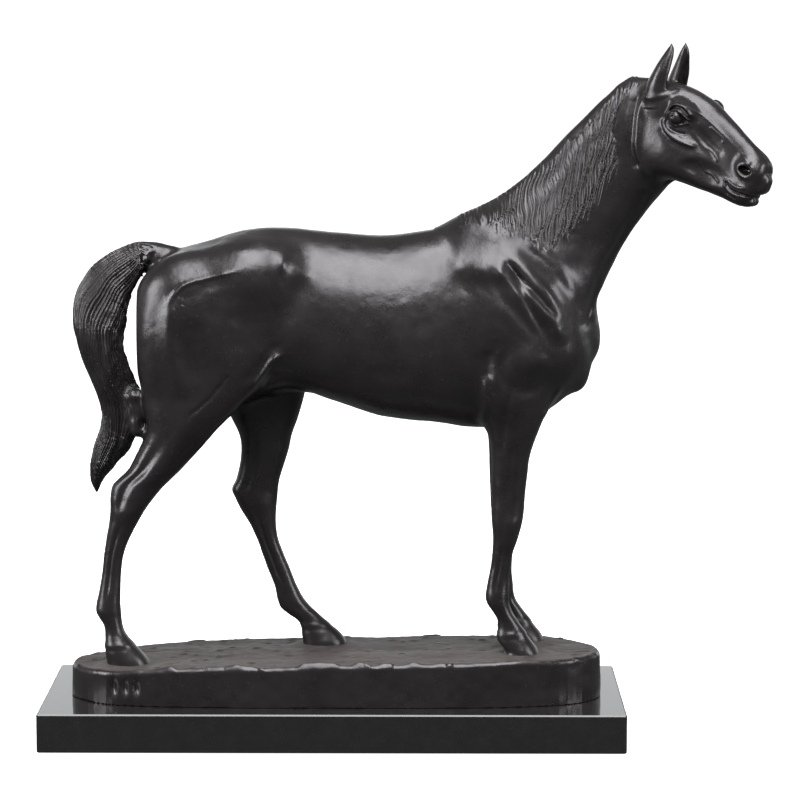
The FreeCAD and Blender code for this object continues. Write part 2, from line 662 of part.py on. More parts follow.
def make_castings(doc):
    """Trunk, neck with head, four legs and tail, split at their weld lines."""
    wall = SIZES["casting_wall"]
    joint_z = SIZES["leg_joint_z"]
    joint_at, joint_dir = neck_joint()
    neck_side = half_space(joint_at, joint_dir)
    trunk_side = half_space(joint_at, joint_dir * -1)
    above_legs = half_space(Vector(0, 0, joint_z), Z_AXIS)
    below_legs = half_space(Vector(0, 0, joint_z), Z_AXIS * -1)
    dock_x, dock_z = TAIL[1][:2]
    dock = Part.makeBox(40, 60, 60, Vector(dock_x, -30, dock_z - 25))
    legs = {name: leg_solid(stations) for name, stations in LEGS.items()}
    neck, tail = loft(neck_wires()), tail_solid()

    trunk = loft(trunk_wires()).fuse(neck.common(trunk_side))
    for leg in legs.values():
        trunk = trunk.fuse(leg.common(above_legs))
    trunk = trunk.fuse(tail.common(dock))
    neck_core = loft(neck_wires(wall)[:-1])
    trunk = trunk.cut(loft(trunk_wires(wall)[1:])).cut(neck_core.common(trunk_side))

    neck_head = neck.common(neck_side).fuse(loft(head_wires()))
    for side in (-1, 1):
        neck_head = neck_head.fuse(ear(side))
    neck_head = neck_head.cut(neck_core.common(neck_side))
    sleeve = loft(neck_wires(wall + 0.05)[:-1]).cut(loft(neck_wires(wall + SIZES["sleeve_wall"])[:-1]))
    sleeve = sleeve.common(neck_band())
    pins = neck_pin_rods()

    reach = Vector(0, 0, SIZES["dowel_half"])
    dowels = {}
    for name, (x, y) in DOWELS.items():
        middle = Vector(x, y, joint_z)
        dowels[name] = peg(SIZES["dowel_radius"], middle - reach, middle + reach)
    ground = doc.getObject("ground_casting").Shape
    studs = doc.getObject("hoof_studs").Shape
    for name, leg in legs.items():
        feature(doc, name, largest(leg.common(below_legs).cut(ground).cut(studs).cut(dowels[name])))

    half = Vector(SIZES["tail_dowel_half"], 0, 0)
    dock_middle = Vector(dock_x, 0, dock_z)
    lump = Part.makeSphere(SIZES["lump_radius"], Vector(*TAIL_TOUCH))
    tail_rods = [peg(SIZES["tail_dowel_radius"], dock_middle - half, dock_middle + half),
                 peg(SIZES["tail_dowel_radius"], *[Vector(*end) for end in TOUCH_DOWEL])]
    switch = tail.cut(dock).fuse(lump).cut(trunk)

    plugs = []
    for x, y, side in CORE_PLUGS:
        outer = Vector(x, y, trunk_surface_z(x, side) - side * SIZES["plug_sunk"])
        plugs.append(peg(SIZES["core_plug_radius"], outer, outer - Z_AXIS * (side * SIZES["plug_depth"])))

    for item in list(dowels.values()) + tail_rods + plugs:
        trunk = trunk.cut(item)
    for item in tail_rods:
        switch = switch.cut(item)
    for item in pins:
        neck_head = neck_head.cut(item)
        sleeve = sleeve.cut(item)

    feature(doc, "torso_casting", largest(trunk))
    feature(doc, "neck_and_head_casting", largest(neck_head))
    feature(doc, "tail_casting", largest(switch))
    feature(doc, "leg_dowels", Part.makeCompound(list(dowels.values())))
    feature(doc, "tail_dowels", Part.makeCompound(tail_rods))
    feature(doc, "neck_sleeve", largest(sleeve))
    feature(doc, "neck_pins", Part.makeCompound(pins))
    feature(doc, "core_plugs", Part.makeCompound(plugs))


def largest(shape):
    """The biggest solid of a boolean's result."""
    return max(shape.Solids, key=lambda solid: solid.Volume)


def trunk_surface_z(x, side):
    """Top (side 1) or bottom (side -1) of the trunk on its centre line, between stations."""
    for (x0, top0, low0, _), (x1, top1, low1, _) in zip(TRUNK, TRUNK[1:]):
        if x0 <= x <= x1:
            share = (x - x0) / (x1 - x0)
            return top0 + share * (top1 - top0) if side > 0 else low0 + share * (low1 - low0)
    raise ValueError(f"no trunk at x {x}")


# ---------------------------------------------------------------- build, check and write
NODES = [
    "felt_pad", "stone_plinth", "plinth_bolts", "plinth_washers", "ground_casting", "hoof_studs",
    "hoof_washers", "hoof_nuts", "torso_casting", "neck_and_head_casting", "right_fore_leg", "left_fore_leg",
    "right_hind_leg", "left_hind_leg", "tail_casting", "leg_dowels", "tail_dowels", "neck_sleeve",
    "neck_pins", "core_plugs",
]


def main():
    doc = App.newDocument("bronze_horse_statuette")
    make_sheet(doc)
    make_felt(doc)
    make_plinth(doc)
    make_plinth_bolts(doc)
    make_ground(doc)
    make_hoof_fixings(doc)
    doc.recompute()
    make_castings(doc)
    doc.recompute()
    for item in doc.Objects:
        if "Invalid" in item.State or "Error" in item.State:
            raise RuntimeError(f"{item.Label} failed: {item.State}")
    os.makedirs("parts", exist_ok=True)
    for name in NODES:
        shape = doc.getObject(name).Shape
        if shape.isNull() or not shape.isValid() or not shape.Solids:
            raise RuntimeError(f"{name} has no valid solid")
        print(f"{name}: {len(shape.Solids)} solid(s), {shape.Volume / 1000:.2f} cm3")
        shape.exportStep(f"parts/{name}.step")


main()
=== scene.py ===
"""Looks of the bronze horse statuette: its castings sculpted as smooth fields in millimetres, then meshed.

A field is a signed distance, negative inside. The horse is one field: its torso, neck and tail are meshed
from it, and each lower leg from its own part of it, all cut flat at the weld lines. The ground has its own.
"""

import json
import math

import bmesh
import bpy
import numpy as np
from mathutils import Matrix, Vector


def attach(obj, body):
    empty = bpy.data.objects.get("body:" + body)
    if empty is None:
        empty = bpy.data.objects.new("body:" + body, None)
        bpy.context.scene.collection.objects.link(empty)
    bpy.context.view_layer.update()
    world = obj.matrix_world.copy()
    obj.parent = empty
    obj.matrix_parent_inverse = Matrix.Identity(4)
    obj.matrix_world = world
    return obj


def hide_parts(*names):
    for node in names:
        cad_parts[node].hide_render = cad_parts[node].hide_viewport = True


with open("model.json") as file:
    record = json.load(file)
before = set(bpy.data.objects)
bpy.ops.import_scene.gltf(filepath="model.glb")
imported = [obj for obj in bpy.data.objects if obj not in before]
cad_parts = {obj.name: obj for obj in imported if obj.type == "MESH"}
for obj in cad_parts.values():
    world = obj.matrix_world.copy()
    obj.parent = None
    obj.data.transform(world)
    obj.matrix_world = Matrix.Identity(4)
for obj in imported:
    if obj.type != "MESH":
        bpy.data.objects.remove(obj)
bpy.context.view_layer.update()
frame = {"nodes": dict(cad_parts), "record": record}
nodes = frame["nodes"]

MM = 0.001
COARSE = 1.0  # mesh step is multiplied by this
FAR = 50.0  # distance given to points away from every part
TINY = 1e-3  # keeps divisions away from zero
MARGIN = 3.0  # fields reach this far past their boxes, and meshes past their cuts

LEG_JOINT_Z = 150.0
TAIL_JOINT_X = -100.0
NECK_JOINT = np.array([112.5, 0.0, 253.5])
NECK_ALONG = np.array([0.7467, 0.0, 0.6652])


# ---- numeric helpers
LEAST_HALF = 0.2  # a section is nowhere thinner than twice this
LEAN_SPAN = 1.5  # a section's lean is measured over this much each way
FADE = 0.24  # share of a stroke over which each end dies away


class Table:
    """Smooth curve through rows of (key, value, value, ...)."""

    def __init__(self, rows, samples=24):
        rows = np.array(rows, float)
        key, val = rows[:, 0], rows[:, 1:]
        step = np.diff(key)
        slope = np.diff(val, axis=0) / step[:, None]
        tangent = np.vstack([slope[:1], (slope[1:] * step[:-1, None] + slope[:-1] * step[1:, None])
                             / (step[1:] + step[:-1])[:, None], slope[-1:]])
        keys, vals = [], []
        for i, width in enumerate(step):
            t = np.linspace(0, 1, samples, endpoint=False)[:, None]
            a, b = val[i], val[i + 1]
            p, q = tangent[i] * width, tangent[i + 1] * width
            vals.append(a + p * t + (3 * (b - a) - 2 * p - q) * t ** 2 + (2 * (a - b) + p + q) * t ** 3)
            keys.append(key[i] + t[:, 0] * width)
        self.key = np.append(np.concatenate(keys), key[-1])
        self.val = np.vstack(vals + [val[-1:]])
        self.low, self.high = key[0], key[-1]

    def at(self, key):
        """One array for each value column."""
        return [np.interp(key, self.key, self.val[:, c]) for c in range(self.val.shape[1])]


def smooth_step(low, high, value):
    t = np.clip((value - low) / (high - low), 0, 1)
    return t * t * (3 - 2 * t)


def bell(value, middle, width):
    """1 in the middle, dying away to both sides."""
    return np.exp(-((value - middle) / width) ** 2)


def join(a, b, k):
    """Smooth union with a fillet about k wide."""
    h = np.maximum(k - np.abs(a - b), 0) / k
    return np.minimum(a, b) - h * h * k / 4


def carve(a, b, k):
    """a without b, with a rounded edge."""
    return -join(-a, b, k)


def lattice(i, j, k, seed):
    """Repeatable random number from 0 to 1 for each whole-number point."""
    n = (i * 374761393 + j * 668265263 + k * 2147483629 + seed * 1442695) & 0xFFFFFFFF
    n = ((n ^ (n >> 13)) * 1274126177) & 0xFFFFFFFF
    return ((n ^ (n >> 16)) & 0xFFFF) / 65535.0


def noise(points, size, seed):
    """Smooth random value from -1 to 1, with features of about the given size; size may be one per axis."""
    q = points / np.asarray(size, float)
    base = np.floor(q).astype(np.int64)
    f = q - base
    f = f * f * (3 - 2 * f)
    total = np.zeros(len(points))
    for corner in range(8):
        o = np.array([corner & 1, (corner >> 1) & 1, corner >> 2])
        weight = np.prod(np.where(o, f, 1 - f), axis=1)
        c = base + o
        total += weight * lattice(c[:, 0], c[:, 1], c[:, 2], seed)
    return total * 2 - 1


def oval(length, r):
    """Rough distance to an oval, from the length to its centre and the same in radii."""
    return length * (1 - 1 / np.maximum(r, TINY))


def section(k, u, v, table, power, cap, taper=0.0):
    """Body whose cross-section at k is an oval from low to high along u and centre +- half along v.

    The body's two ends are caps of the given length, and taper narrows the oval towards its high side.
    """
    key = np.clip(k, table.low, table.high)
    low, high, centre, half = table.at(key)
    middle = (table.val[:, 0] + table.val[:, 1]) / 2
    ahead, behind = (np.interp(key + shift, table.key, middle) for shift in (LEAN_SPAN, -LEAN_SPAN))
    lean = 1 / np.sqrt(1 + ((ahead - behind) / (2 * LEAN_SPAN)) ** 2)
    reach = np.maximum((high - low) / 2, LEAST_HALF)
    du, dv = u - (high + low) / 2, v - centre
    half = np.maximum(half * (1 - taper * np.clip(du / reach, -1, 1)), LEAST_HALF)
    over = k - key
    total = np.abs(du / reach) ** power + np.abs(dv / half) ** power + np.abs(over / cap) ** power
    return oval(np.sqrt(du ** 2 + dv ** 2 + over ** 2), total ** (1 / power)) * lean


def blob(points, centre, radii, tilt):
    """Ellipsoid; tilt turns its x and z radii in the side view, in degrees, nose up."""
    q = points - np.asarray(centre, float)
    c, s = math.cos(math.radians(tilt)), math.sin(math.radians(tilt))
    x, z = q[:, 0] * c + q[:, 2] * s, -q[:, 0] * s + q[:, 2] * c
    r = np.sqrt((x / radii[0]) ** 2 + (q[:, 1] / radii[1]) ** 2 + (z / radii[2]) ** 2)
    return oval(np.linalg.norm(q, axis=1), r)


def rod(points, a, b, ra, rb):
    """Round rod from a to b with a radius at each end."""
    a, b = np.asarray(a, float), np.asarray(b, float)
    axis = b - a
    t = np.clip((points - a) @ axis / (axis @ axis), 0, 1)
    return np.linalg.norm(points - a - t[:, None] * axis, axis=1) - (ra + (rb - ra) * t)


def line_place(p, q, line):
    """Distance in a plane from (p, q) to a line of points, and how far along it the nearest point is."""
    best, share = np.full(len(p), 1e9), np.zeros(len(p))
    steps = [math.hypot(x1 - x0, y1 - y0) for (x0, y0), (x1, y1) in zip(line, line[1:])]
    done = 0.0
    for (x0, y0), (x1, y1), length in zip(line, line[1:], steps):
        dx, dy = x1 - x0, y1 - y0
        t = np.clip(((p - x0) * dx + (q - y0) * dy) / length ** 2, 0, 1)
        gap = (p - x0 - t * dx) ** 2 + (q - y0 - t * dy) ** 2
        closer = gap < best
        best = np.where(closer, gap, best)
        share = np.where(closer, (done + t * length) / sum(steps), share)
        done += length
    return np.sqrt(best), share


def outline_distance(p, q, line):
    """Signed distance in a plane to a closed outline, negative inside."""
    inside = np.zeros(len(p), bool)
    closed = list(line) + [line[0]]
    for (x0, y0), (x1, y1) in zip(closed, closed[1:]):
        crosses = (y0 > q) != (y1 > q)
        slope = (x1 - x0) / (y1 - y0) if y1 != y0 else 0.0
        inside ^= crosses & (p < x0 + (q - y0) * slope)
    d, _ = line_place(p, q, closed)
    return np.where(inside, -d, d)


def stroke(p, q, line, width, height, fade=False):
    """Soft ridge (height above 0) or groove (below 0) along a line; fade lets both ends die away."""
    low, high = np.min(line, axis=0) - 3 * width, np.max(line, axis=0) + 3 * width
    near = (p > low[0]) & (p < high[0]) & (q > low[1]) & (q < high[1])
    gap, share = line_place(p[near], q[near], line)
    rise = height * bell(gap, 0, width)
    if fade:
        rise *= smooth_step(0, FADE, share) * smooth_step(1, 1 - FADE, share)
    relief = np.zeros(len(p))
    relief[near] = rise
    return relief


def smooth_points(pts, per_side):
    """Points on the smooth curve through all of pts but the first and the last."""
    out = []
    for a, b, c, d in zip(pts, pts[1:], pts[2:], pts[3:]):
        square, cube = 2 * a - 5 * b + 4 * c - d, 3 * b - a - 3 * c + d
        for t in np.linspace(0, 1, per_side, endpoint=False):
            out.append(0.5 * (2 * b + (c - a) * t + square * t ** 2 + cube * t ** 3))
    return out


def smooth_line(points):
    """Open smooth curve through the points."""
    pts = np.array([points[0], *points, points[-1]], float)
    return smooth_points(pts, 4) + [pts[-1]]


def smooth_outline(points):
    """Closed smooth curve through the points."""
    return smooth_points(np.array([points[-1], *points, points[0], points[1]], float), 5)


# ---- the horse's outlines
# Trunk: x, bottom, top, sideways centre, half width.
TRUNK = Table([
    (-90, 185, 246, 0, 22), (-80, 168, 252.5, 0, 30), (-65, 166, 257, 0, 34), (-45, 174, 263, 0, 34.5),
    (-25, 181, 264, 0, 32.5), (0, 174.4, 261.6, 0, 34.5), (25, 166.4, 260, 0, 37), (50, 163.6, 263, 0, 35.5),
    (75, 160.5, 268, 0, 31), (95, 163, 266, 0, 28), (112, 170, 252, 0, 25), (123, 182, 234, 0, 19),
    (127, 192, 222, 0, 12),
])
# Neck, along its own axis from the withers: key, throat side, crest side, sideways centre, half width.
NECK_START = np.array([95.0, 236.5])
NECK_END = np.array([161.25, 316.0])
NECK = Table([
    (-14, -40, 43, 0, 28), (4, -41, 43.5, 0, 27), (22, -36.5, 37.5, 0, 22.5), (40, -31.6, 32.6, 0, 18.8),
    (57, -28.5, 30.4, -1, 16.6), (72, -27.2, 29.5, -2.6, 15), (87, -27, 28.4, -4.6, 14),
    (99, -25.5, 27.4, -6.4, 13), (108, -22, 25, -7.5, 11.5),
])
# Head, along its own axis in its upright plane: key, jaw side, forehead side, sideways centre, half width.
HEAD_PIVOT = np.array([161.0, -7.0])
HEAD_TURN = math.radians(36.0)
HEAD_AXIS = np.array([0.8944, -0.4472])
HEAD_START = (-2.0, 326.0)  # forward of the pivot, and height
HEAD = Table([
    (-12, -14, 11, 0, 11), (-5, -22, 14.6, 0, 12), (5, -26.6, 18.6, 0, 12.3), (16, -27.4, 21.5, 0, 12.7),
    (26, -26, 22.2, 0, 13), (36, -23, 21.6, 0, 12.3), (45, -21.3, 19.3, 0, 10.2), (54, -19.6, 16.8, 0, 8.4),
    (63, -18.1, 14, 0, 7.7), (70, -17, 12.2, 0, 8), (74.5, -14.8, 10.4, 0, 7.9), (77.6, -10.5, 7.6, 0, 6.6),
    (79, -6, 3.6, 0, 4.4),
])
# Ear, root to tip: height, forward low, forward high, sideways centre, half width.
EAR = Table([
    (327, 2.5, 15.5, 8.5, 4.2), (333, 3.6, 16.6, 9.4, 4.4), (339, 5.6, 17.2, 9.6, 4.3),
    (345, 8.6, 18.2, 9.2, 3.8), (350, 11.4, 18.8, 8.4, 3), (354, 13.8, 19.2, 7.6, 2.2),
    (357, 15.8, 18.9, 7, 1.2), (358.3, 16.8, 18.2, 6.8, 0.5),
])
# Legs, from the sole up into the trunk: z, back x, front x, sideways centre, half width.
RIGHT_HIND = Table([
    (38, -117.2, -94.5, -21, 9.2), (41.5, -117.6, -95.9, -21, 8.9), (46, -118.5, -99.6, -21, 8.1),
    (50, -118.5, -103.3, -20.9, 7.2), (52.5, -118.2, -105.6, -20.8, 6.3), (55, -118, -107.5, -20.7, 5.4),
    (60, -119, -109.4, -20.4, 5), (63, -121, -109.8, -20.2, 5.3), (67, -122.7, -110, -20, 5.8),
    (70, -122.5, -110.1, -19.9, 5.6), (77, -121, -110, -19.7, 4.7), (85, -119.6, -109.7, -19.5, 4.2),
    (95, -118.5, -108.4, -19.3, 4.3), (105, -117, -104.8, -19.2, 5.3), (112, -115.8, -101.4, -19.2, 6.4),
    (120, -115, -97, -19.2, 7.2), (127, -114.8, -92, -19.2, 7.4), (132.5, -113.6, -87.4, -19.3, 7.3),
    (140, -106.2, -79.6, -19.5, 8.2), (150, -100.6, -70, -19.8, 10.2), (160, -96.4, -60.8, -20.2, 12.4),
    (175, -97.3, -47, -20.8, 15), (190, -98.4, -37.5, -20.5, 16.5), (210, -99.3, -40, -18.8, 18),
    (232, -95, -50, -17, 17),
], 10)
LEFT_HIND = Table([
    (40, -17.2, 6.5, 21.6, 9.1), (43, -17.6, 5.6, 21.6, 8.8), (46, -18.2, 3.4, 21.6, 8),
    (49, -18.5, 0.4, 21.5, 7.1), (51.5, -18.9, -2.6, 21.4, 6.2), (54.5, -21, -6, 21.2, 5.3),
    (57.5, -25, -9.2, 21, 5.1), (60.5, -28.5, -12.5, 20.9, 5.4), (64, -30, -15.6, 20.7, 5.7),
    (72, -32, -20, 20.4, 5), (80, -35, -23.2, 20.1, 4.4), (89, -38, -26.9, 19.9, 4.3),
    (97, -41, -29.8, 19.8, 4.7), (106, -45, -31, 19.7, 5.8), (114, -50, -30.9, 19.7, 6.8),
    (120, -53, -30.5, 19.7, 7.2), (123.5, -54.4, -30.1, 19.7, 7.3), (130, -52, -29, 19.8, 7.6),
    (138, -50, -26.6, 20, 8.4), (145, -49.3, -24.4, 20.1, 9.4), (152, -50, -23, 20.3, 10.4),
    (163, -55, -19.2, 20.7, 12.4), (178, -62, -15.4, 21, 14.5), (192, -68, -14, 21, 15.8),
    (212, -72, -20, 19.3, 16.8), (232, -72, -28, 17, 16.5),
], 10)
# Both forelegs: z, back and front x of the right one, then of the left one, distance sideways, half width.
FORELEGS = np.array([
    (43, 87.2, 107.3, 91.6, 110.9, 17, 9), (46, 88.6, 106, 92.6, 109.9, 17, 8.6),
    (49, 86.2, 104.2, 90.4, 108.2, 17, 7.8), (52, 84.1, 101.9, 88.3, 105.8, 17, 6.9),
    (55, 84.3, 100, 88.5, 103.9, 17, 6), (58, 85, 97.8, 89.1, 101.6, 16.9, 5.2),
    (62, 85, 95, 88.9, 98.6, 16.8, 4.9), (66, 82.5, 92.6, 86.2, 96, 16.7, 5.1),
    (71, 79.3, 91.2, 82.9, 94.5, 16.6, 5.7), (75, 78.7, 90.9, 82.1, 94.2, 16.5, 5.5),
    (80, 79.5, 90.6, 82.4, 93.6, 16.5, 4.6), (90, 81.5, 91.8, 83.6, 93.9, 16.5, 4.2),
    (97, 82.2, 93, 83.8, 94.6, 16.5, 4.8), (104, 82.4, 95.5, 83.6, 96.7, 16.5, 6.1),
    (111, 82, 97.3, 82.8, 98.1, 16.5, 7), (118, 81.6, 98.2, 82, 98.6, 16.5, 7),
    (125, 81.6, 98.7, 81.8, 98.8, 16.6, 7.1), (132, 81.5, 99.4, 81.5, 99.4, 16.7, 7.6),
    (140, 81.5, 100.3, 81.2, 100.2, 16.8, 8.4), (147, 81.4, 101.4, 81, 101.2, 16.9, 9.3),
    (153, 81, 103, 80.6, 102.6, 17.2, 10), (160, 79.6, 105.5, 79.3, 105, 17.4, 10.8),
    (168, 78.6, 108.5, 78.4, 108.2, 17.5, 11.6), (182, 79, 111, 79, 111, 17.5, 12.4),
    (200, 83, 116, 83, 116, 16, 12.5),
])
RIGHT_FORE = Table(np.column_stack([FORELEGS[:, :3], -FORELEGS[:, 5], FORELEGS[:, 6]]), 10)
LEFT_FORE = Table(FORELEGS[:, [0, 3, 4, 5, 6]], 10)
LEGS = {"right_hind_leg": RIGHT_HIND, "left_hind_leg": LEFT_HIND,
        "right_fore_leg": RIGHT_FORE, "left_fore_leg": LEFT_FORE}
# Tail, along its curve: x, z, half thickness in the curve's plane, half thickness across.
TAIL = np.array([
    (-84, 249, 5.5, 6), (-92, 249.6, 7, 7), (-101, 249.2, 7.6, 8), (-109, 242.6, 10.6, 9.4),
    (-115.3, 236, 12.6, 10), (-120.3, 225, 13.8, 10.6), (-121.2, 213, 13.1, 11), (-119.6, 200, 11.2, 11),
    (-115.2, 188, 10.4, 10.5), (-110.6, 177, 10.8, 10), (-109.3, 167, 10.6, 9.6), (-111.6, 158, 9.4, 8.6),
    (-117, 148.5, 7.8, 6.6), (-121.3, 140, 5.4, 4.6), (-123.4, 133, 3, 2.8), (-123, 127.6, 0.9, 0.9),
])
TAIL_SIDE = -7.0


# ---- the horse's field
def head_frame(points):
    """Forward and left in the head's own plane, and the places along and across the head's axis."""
    x, y = points[:, 0] - HEAD_PIVOT[0], points[:, 1] - HEAD_PIVOT[1]
    forward = x * math.cos(HEAD_TURN) - y * math.sin(HEAD_TURN)
    left = x * math.sin(HEAD_TURN) + y * math.cos(HEAD_TURN)
    dx, dz = forward - HEAD_START[0], points[:, 2] - HEAD_START[1]
    along = dx * HEAD_AXIS[0] + dz * HEAD_AXIS[1]
    across = -dx * HEAD_AXIS[1] + dz * HEAD_AXIS[0]
    return forward, left, along, across


# Ellipsoids on both sides: centre, radii, tilt, width of the fillet that joins them on.
TRUNK_MUSCLES = [
    ((96, 20, 216), (24, 15.5, 34), 32, 12),  # shoulder
    ((112, 15, 205), (17, 15, 20), 20, 9),  # point of the shoulder
    ((90, 20.5, 186), (15, 13, 22), -12, 8),  # upper arm above the elbow
    ((84, 10, 256), (26, 10, 14), 12, 10),  # withers muscle
    ((-74, 20, 226), (26, 18, 26), 20, 12),  # croup
    ((-44, 21, 240), (26, 15, 17), 12, 12),  # loin and point of the hip
    ((-86, 18, 206), (14, 17, 30), 2, 9),  # buttock
    ((118, 8, 196), (12, 11, 18), 30, 7),  # breast
]


def trunk_field(p):
    d = section(p[:, 0], p[:, 2], p[:, 1], TRUNK, 2.15, 11.0, 0.1)
    side = np.column_stack([p[:, 0], np.abs(p[:, 1]), p[:, 2]])
    for centre, radii, tilt, k in TRUNK_MUSCLES:
        d = join(d, blob(side, centre, radii, tilt), k)
    return join(d, rod(p, (-30, 0, 181), (-14, 0, 182.5), 3.6, 2.4), 6)  # sheath


def neck_field(p):
    axis = (NECK_END - NECK_START) / np.linalg.norm(NECK_END - NECK_START)
    x, z = p[:, 0] - NECK_START[0], p[:, 2] - NECK_START[1]
    along, across = x * axis[0] + z * axis[1], -x * axis[1] + z * axis[0]
    return section(along, across, p[:, 1], NECK, 2.1, 8.0, 0.3)


# Places on the head are along it, sideways and across it.
EYE = np.array([24.8, 12.4, 8.2])
HEAD_FORMS = [
    ((21, 5.6, -9.5), (18, 8.6, 15.5), 14, 3),  # cheek
    ((11, 7.4, 9), (10, 5.6, 8), 24, 5),  # temple
    ((26, 9.2, 13.2), (8.4, 4.6, 4.4), -4, 3),  # brow
    ((71, 3, 3.2), (8.4, 5.9, 6.6), -22, 4),  # nostril wing
    ((72.5, 1.5, -12.8), (7.2, 5.2, 3.7), 8, 2),  # lower lip and chin
    ((75, 2, -3.6), (4.8, 5.2, 5.8), 20, 3),  # upper lip
]
HEAD_HOLLOWS = [
    ((11, 14.6, 15.5), (7.5, 3.4, 3.6), 36, 3),  # hollow above the temple
    ((46, 13.4, 4.5), (16, 4.8, 5.4), -12, 5),  # side of the nose
    ((54, 11.8, -8.5), (14, 3.8, 4.6), 8, 4),  # in front of the cheek
    ((40, 0, -25.5), (26, 3.4, 4.5), 8, 3),  # between the jaw bones
]


def head_field(p):
    """Head without its small relief."""
    _, left, s, n = head_frame(p)
    d = section(s, n, left, HEAD, 2.7, 3.6, 0.26)
    q = np.column_stack([s, np.abs(left), n])
    for centre, radii, tilt, k in HEAD_FORMS:
        d = join(d, blob(q, centre, radii, tilt), k)
    # the far brow stands out more
    d = join(d, blob(np.column_stack([s, left, n]), (32.5, 9.6, 17.8), (4.2, 3.0, 3.0), -12), 2.0)
    for centre, radii, tilt, k in HEAD_HOLLOWS:
        d = carve(d, blob(q, centre, radii, tilt), k)
    # eye socket and ball, the ball with a drilled pupil
    d = carve(d, blob(q, EYE + (0.2, 2.4, -0.2), (5.2, 3.2, 4.0), 6), 1.2)
    d = join(d, blob(q, EYE - (0, 1.4, 0), (4.0, 4.2, 3.8), 0), 0.4)
    d = carve(d, blob(q, EYE + (-0.9, 2.9, 0.1), (0.9, 1.2, 0.9), 0), 0.4)
    # nostril, opening forward and outward
    return carve(d, blob(q, (70.4, 8.2, 2.4), (3.9, 3.4, 2.1), 12), 0.7)


# Ridges and grooves on the sides of the head: line along and across it, width, rise.
HEAD_STROKES = [
    ([(19.4, 7.4), (20.4, 12.2), (23.6, 15.2), (28.4, 15.6), (31.6, 13.4)], 0.9, 1.2),  # brow
    ([(20.4, 9.4), (22.4, 12.9), (26.4, 14.1), (30.2, 13)], 0.6, -0.7),
    ([(20.9, 7), (21.5, 9.9), (23.8, 12), (27.4, 12.3), (31.4, 10.2)], 0.65, 1.1),  # upper lid
    ([(20.9, 6.6), (23.2, 4.5), (26.8, 4.4), (31.6, 8.4)], 0.65, 0.8),  # lower lid
    ([(31.6, 8.6), (33.4, 7.6)], 0.7, 0.5),  # inner corner
    ([(20.6, 4.2), (23, 1.8), (27.4, 1.6), (32.6, 2.6)], 0.9, -0.7),
    ([(19.6, 3.2), (22.4, 0.8), (26.6, -0.7), (32.4, -1.2), (39.4, -0.2)], 1.2, 1),  # facial crest
    ([(21.4, -1.4), (27, -3.2), (33.4, -3.8), (39.4, -2.8)], 1.8, -0.4),
    ([(1, 9.4), (6.6, 9.8), (13.2, 14.2), (16.6, 19.4)], 1.6, 0.7),  # cheek arch
    # jaw
    ([(2.8, 5.6), (4.9, 0.3), (9, -7.6), (12.8, -15.6), (18, -21.5), (22.6, -25.1)], 2, 0.6),
    ([(0.4, 3.8), (2.4, -1.6), (6.4, -9.4), (10.2, -17.2), (15.6, -23.4)], 2.2, -1.1),
    # edge of the nasal bone
    ([(29, 16.8), (40, 14.6), (52.4, 11.3), (63, 8.4), (71, 6.8)], 1, 0.7),
    ([(32.6, 12.6), (36.6, 8.2), (42, 5.6), (47.6, 3.8), (53, 3.2)], 1.9, -0.5),
    ([(43.1, 12), (50.6, 10.2), (52.2, 8.8)], 0.7, 0.5),  # veins
    ([(36, 5.4), (44, 1.8), (48.4, 1.6), (53.6, -0.6)], 1, 0.3),
    ([(46.4, -6.6), (50, -8.8), (54.2, -8.4), (59, -10)], 0.8, 0.4),
    # mouth
    ([(63.4, -8.4), (65.4, -9.6), (68.4, -10.2), (74.2, -9.2), (78.4, -8.8), (83, -8.2)], 0.6, -1.4),
    ([(64.4, -6.9), (69.6, -7.2), (74.8, -5.4)], 0.8, 0.5),
    ([(62.4, -7.2), (63.6, -10.4)], 0.8, 0.5),
    ([(66, -12.6), (71, -13)], 0.9, -0.4),
]


def head_relief(p):
    """Lids, facial bones, mouth and veins of the head, drawn on its sides."""
    _, left, s, n = head_frame(p)
    across = np.abs(left)
    relief = np.zeros(len(p))
    for line, width, rise in HEAD_STROKES:
        relief += stroke(s, n, smooth_line(line), width, rise)
    # rim of the nostril
    rim = np.hypot((s - 70.4) * 0.7, n - 2.6)
    relief += 0.4 * bell(rim, 3.4, 1)
    # the neck covers the back of the jaw on the far side
    relief *= smooth_step(5, 8, across) * (1 - smooth_step(2, 8, left) * smooth_step(15, 5, s))
    # the mouth also runs round the front of the lips
    front = smooth_step(74, 77, s) * (1 - smooth_step(5, 8, across))
    return relief + front * stroke(s * 0, n, [(0, -8.8), (0, -8.5)], 0.6, -0.8)


def ear_field(p, side):
    """side is -1 for the right ear and 1 for the left."""
    forward, left, _, _ = head_frame(p)
    across = left * side
    outer = section(p[:, 2], forward, across, EAR, 2.0, 1.0)
    # the cup opens forward, the right ear's a little inward and the left ear's a little outward
    turn = 2.4 if side < 0 else 1.0
    inner = section(p[:, 2] + 1.4, forward - 3.6, across + turn, EAR, 2.0, 1.0) + 1.2
    return carve(outer, np.maximum(inner, 333 - p[:, 2]), 0.7)


# Grooves down the sides of a leg: place from back (0) to front (1), width, z it fades in over, z it fades out
# over, rise. Spots on the sides: place, width, z, reach along z, rise.
LEG_GROOVES = {
    "hind": [(0.3, 0.1, (118, 126), (168, 140), -0.9), (0.42, 0.09, (72, 80), (112, 104), -0.8)],
    "fore": [(0.42, 0.1, (76, 84), (103, 96), -0.7), (0.5, 0.08, (122, 130), (158, 148), -0.7)],
}
LEG_SPOTS = {
    "hind": [(0.62, 0.2, 119, 4.5, 0.9), (0.45, 0.12, 110, 4, -0.5)],
    "fore": [(0.62, 0.25, 113, 4, 0.6), (0.35, 0.12, 111, 6, -0.5)],
}


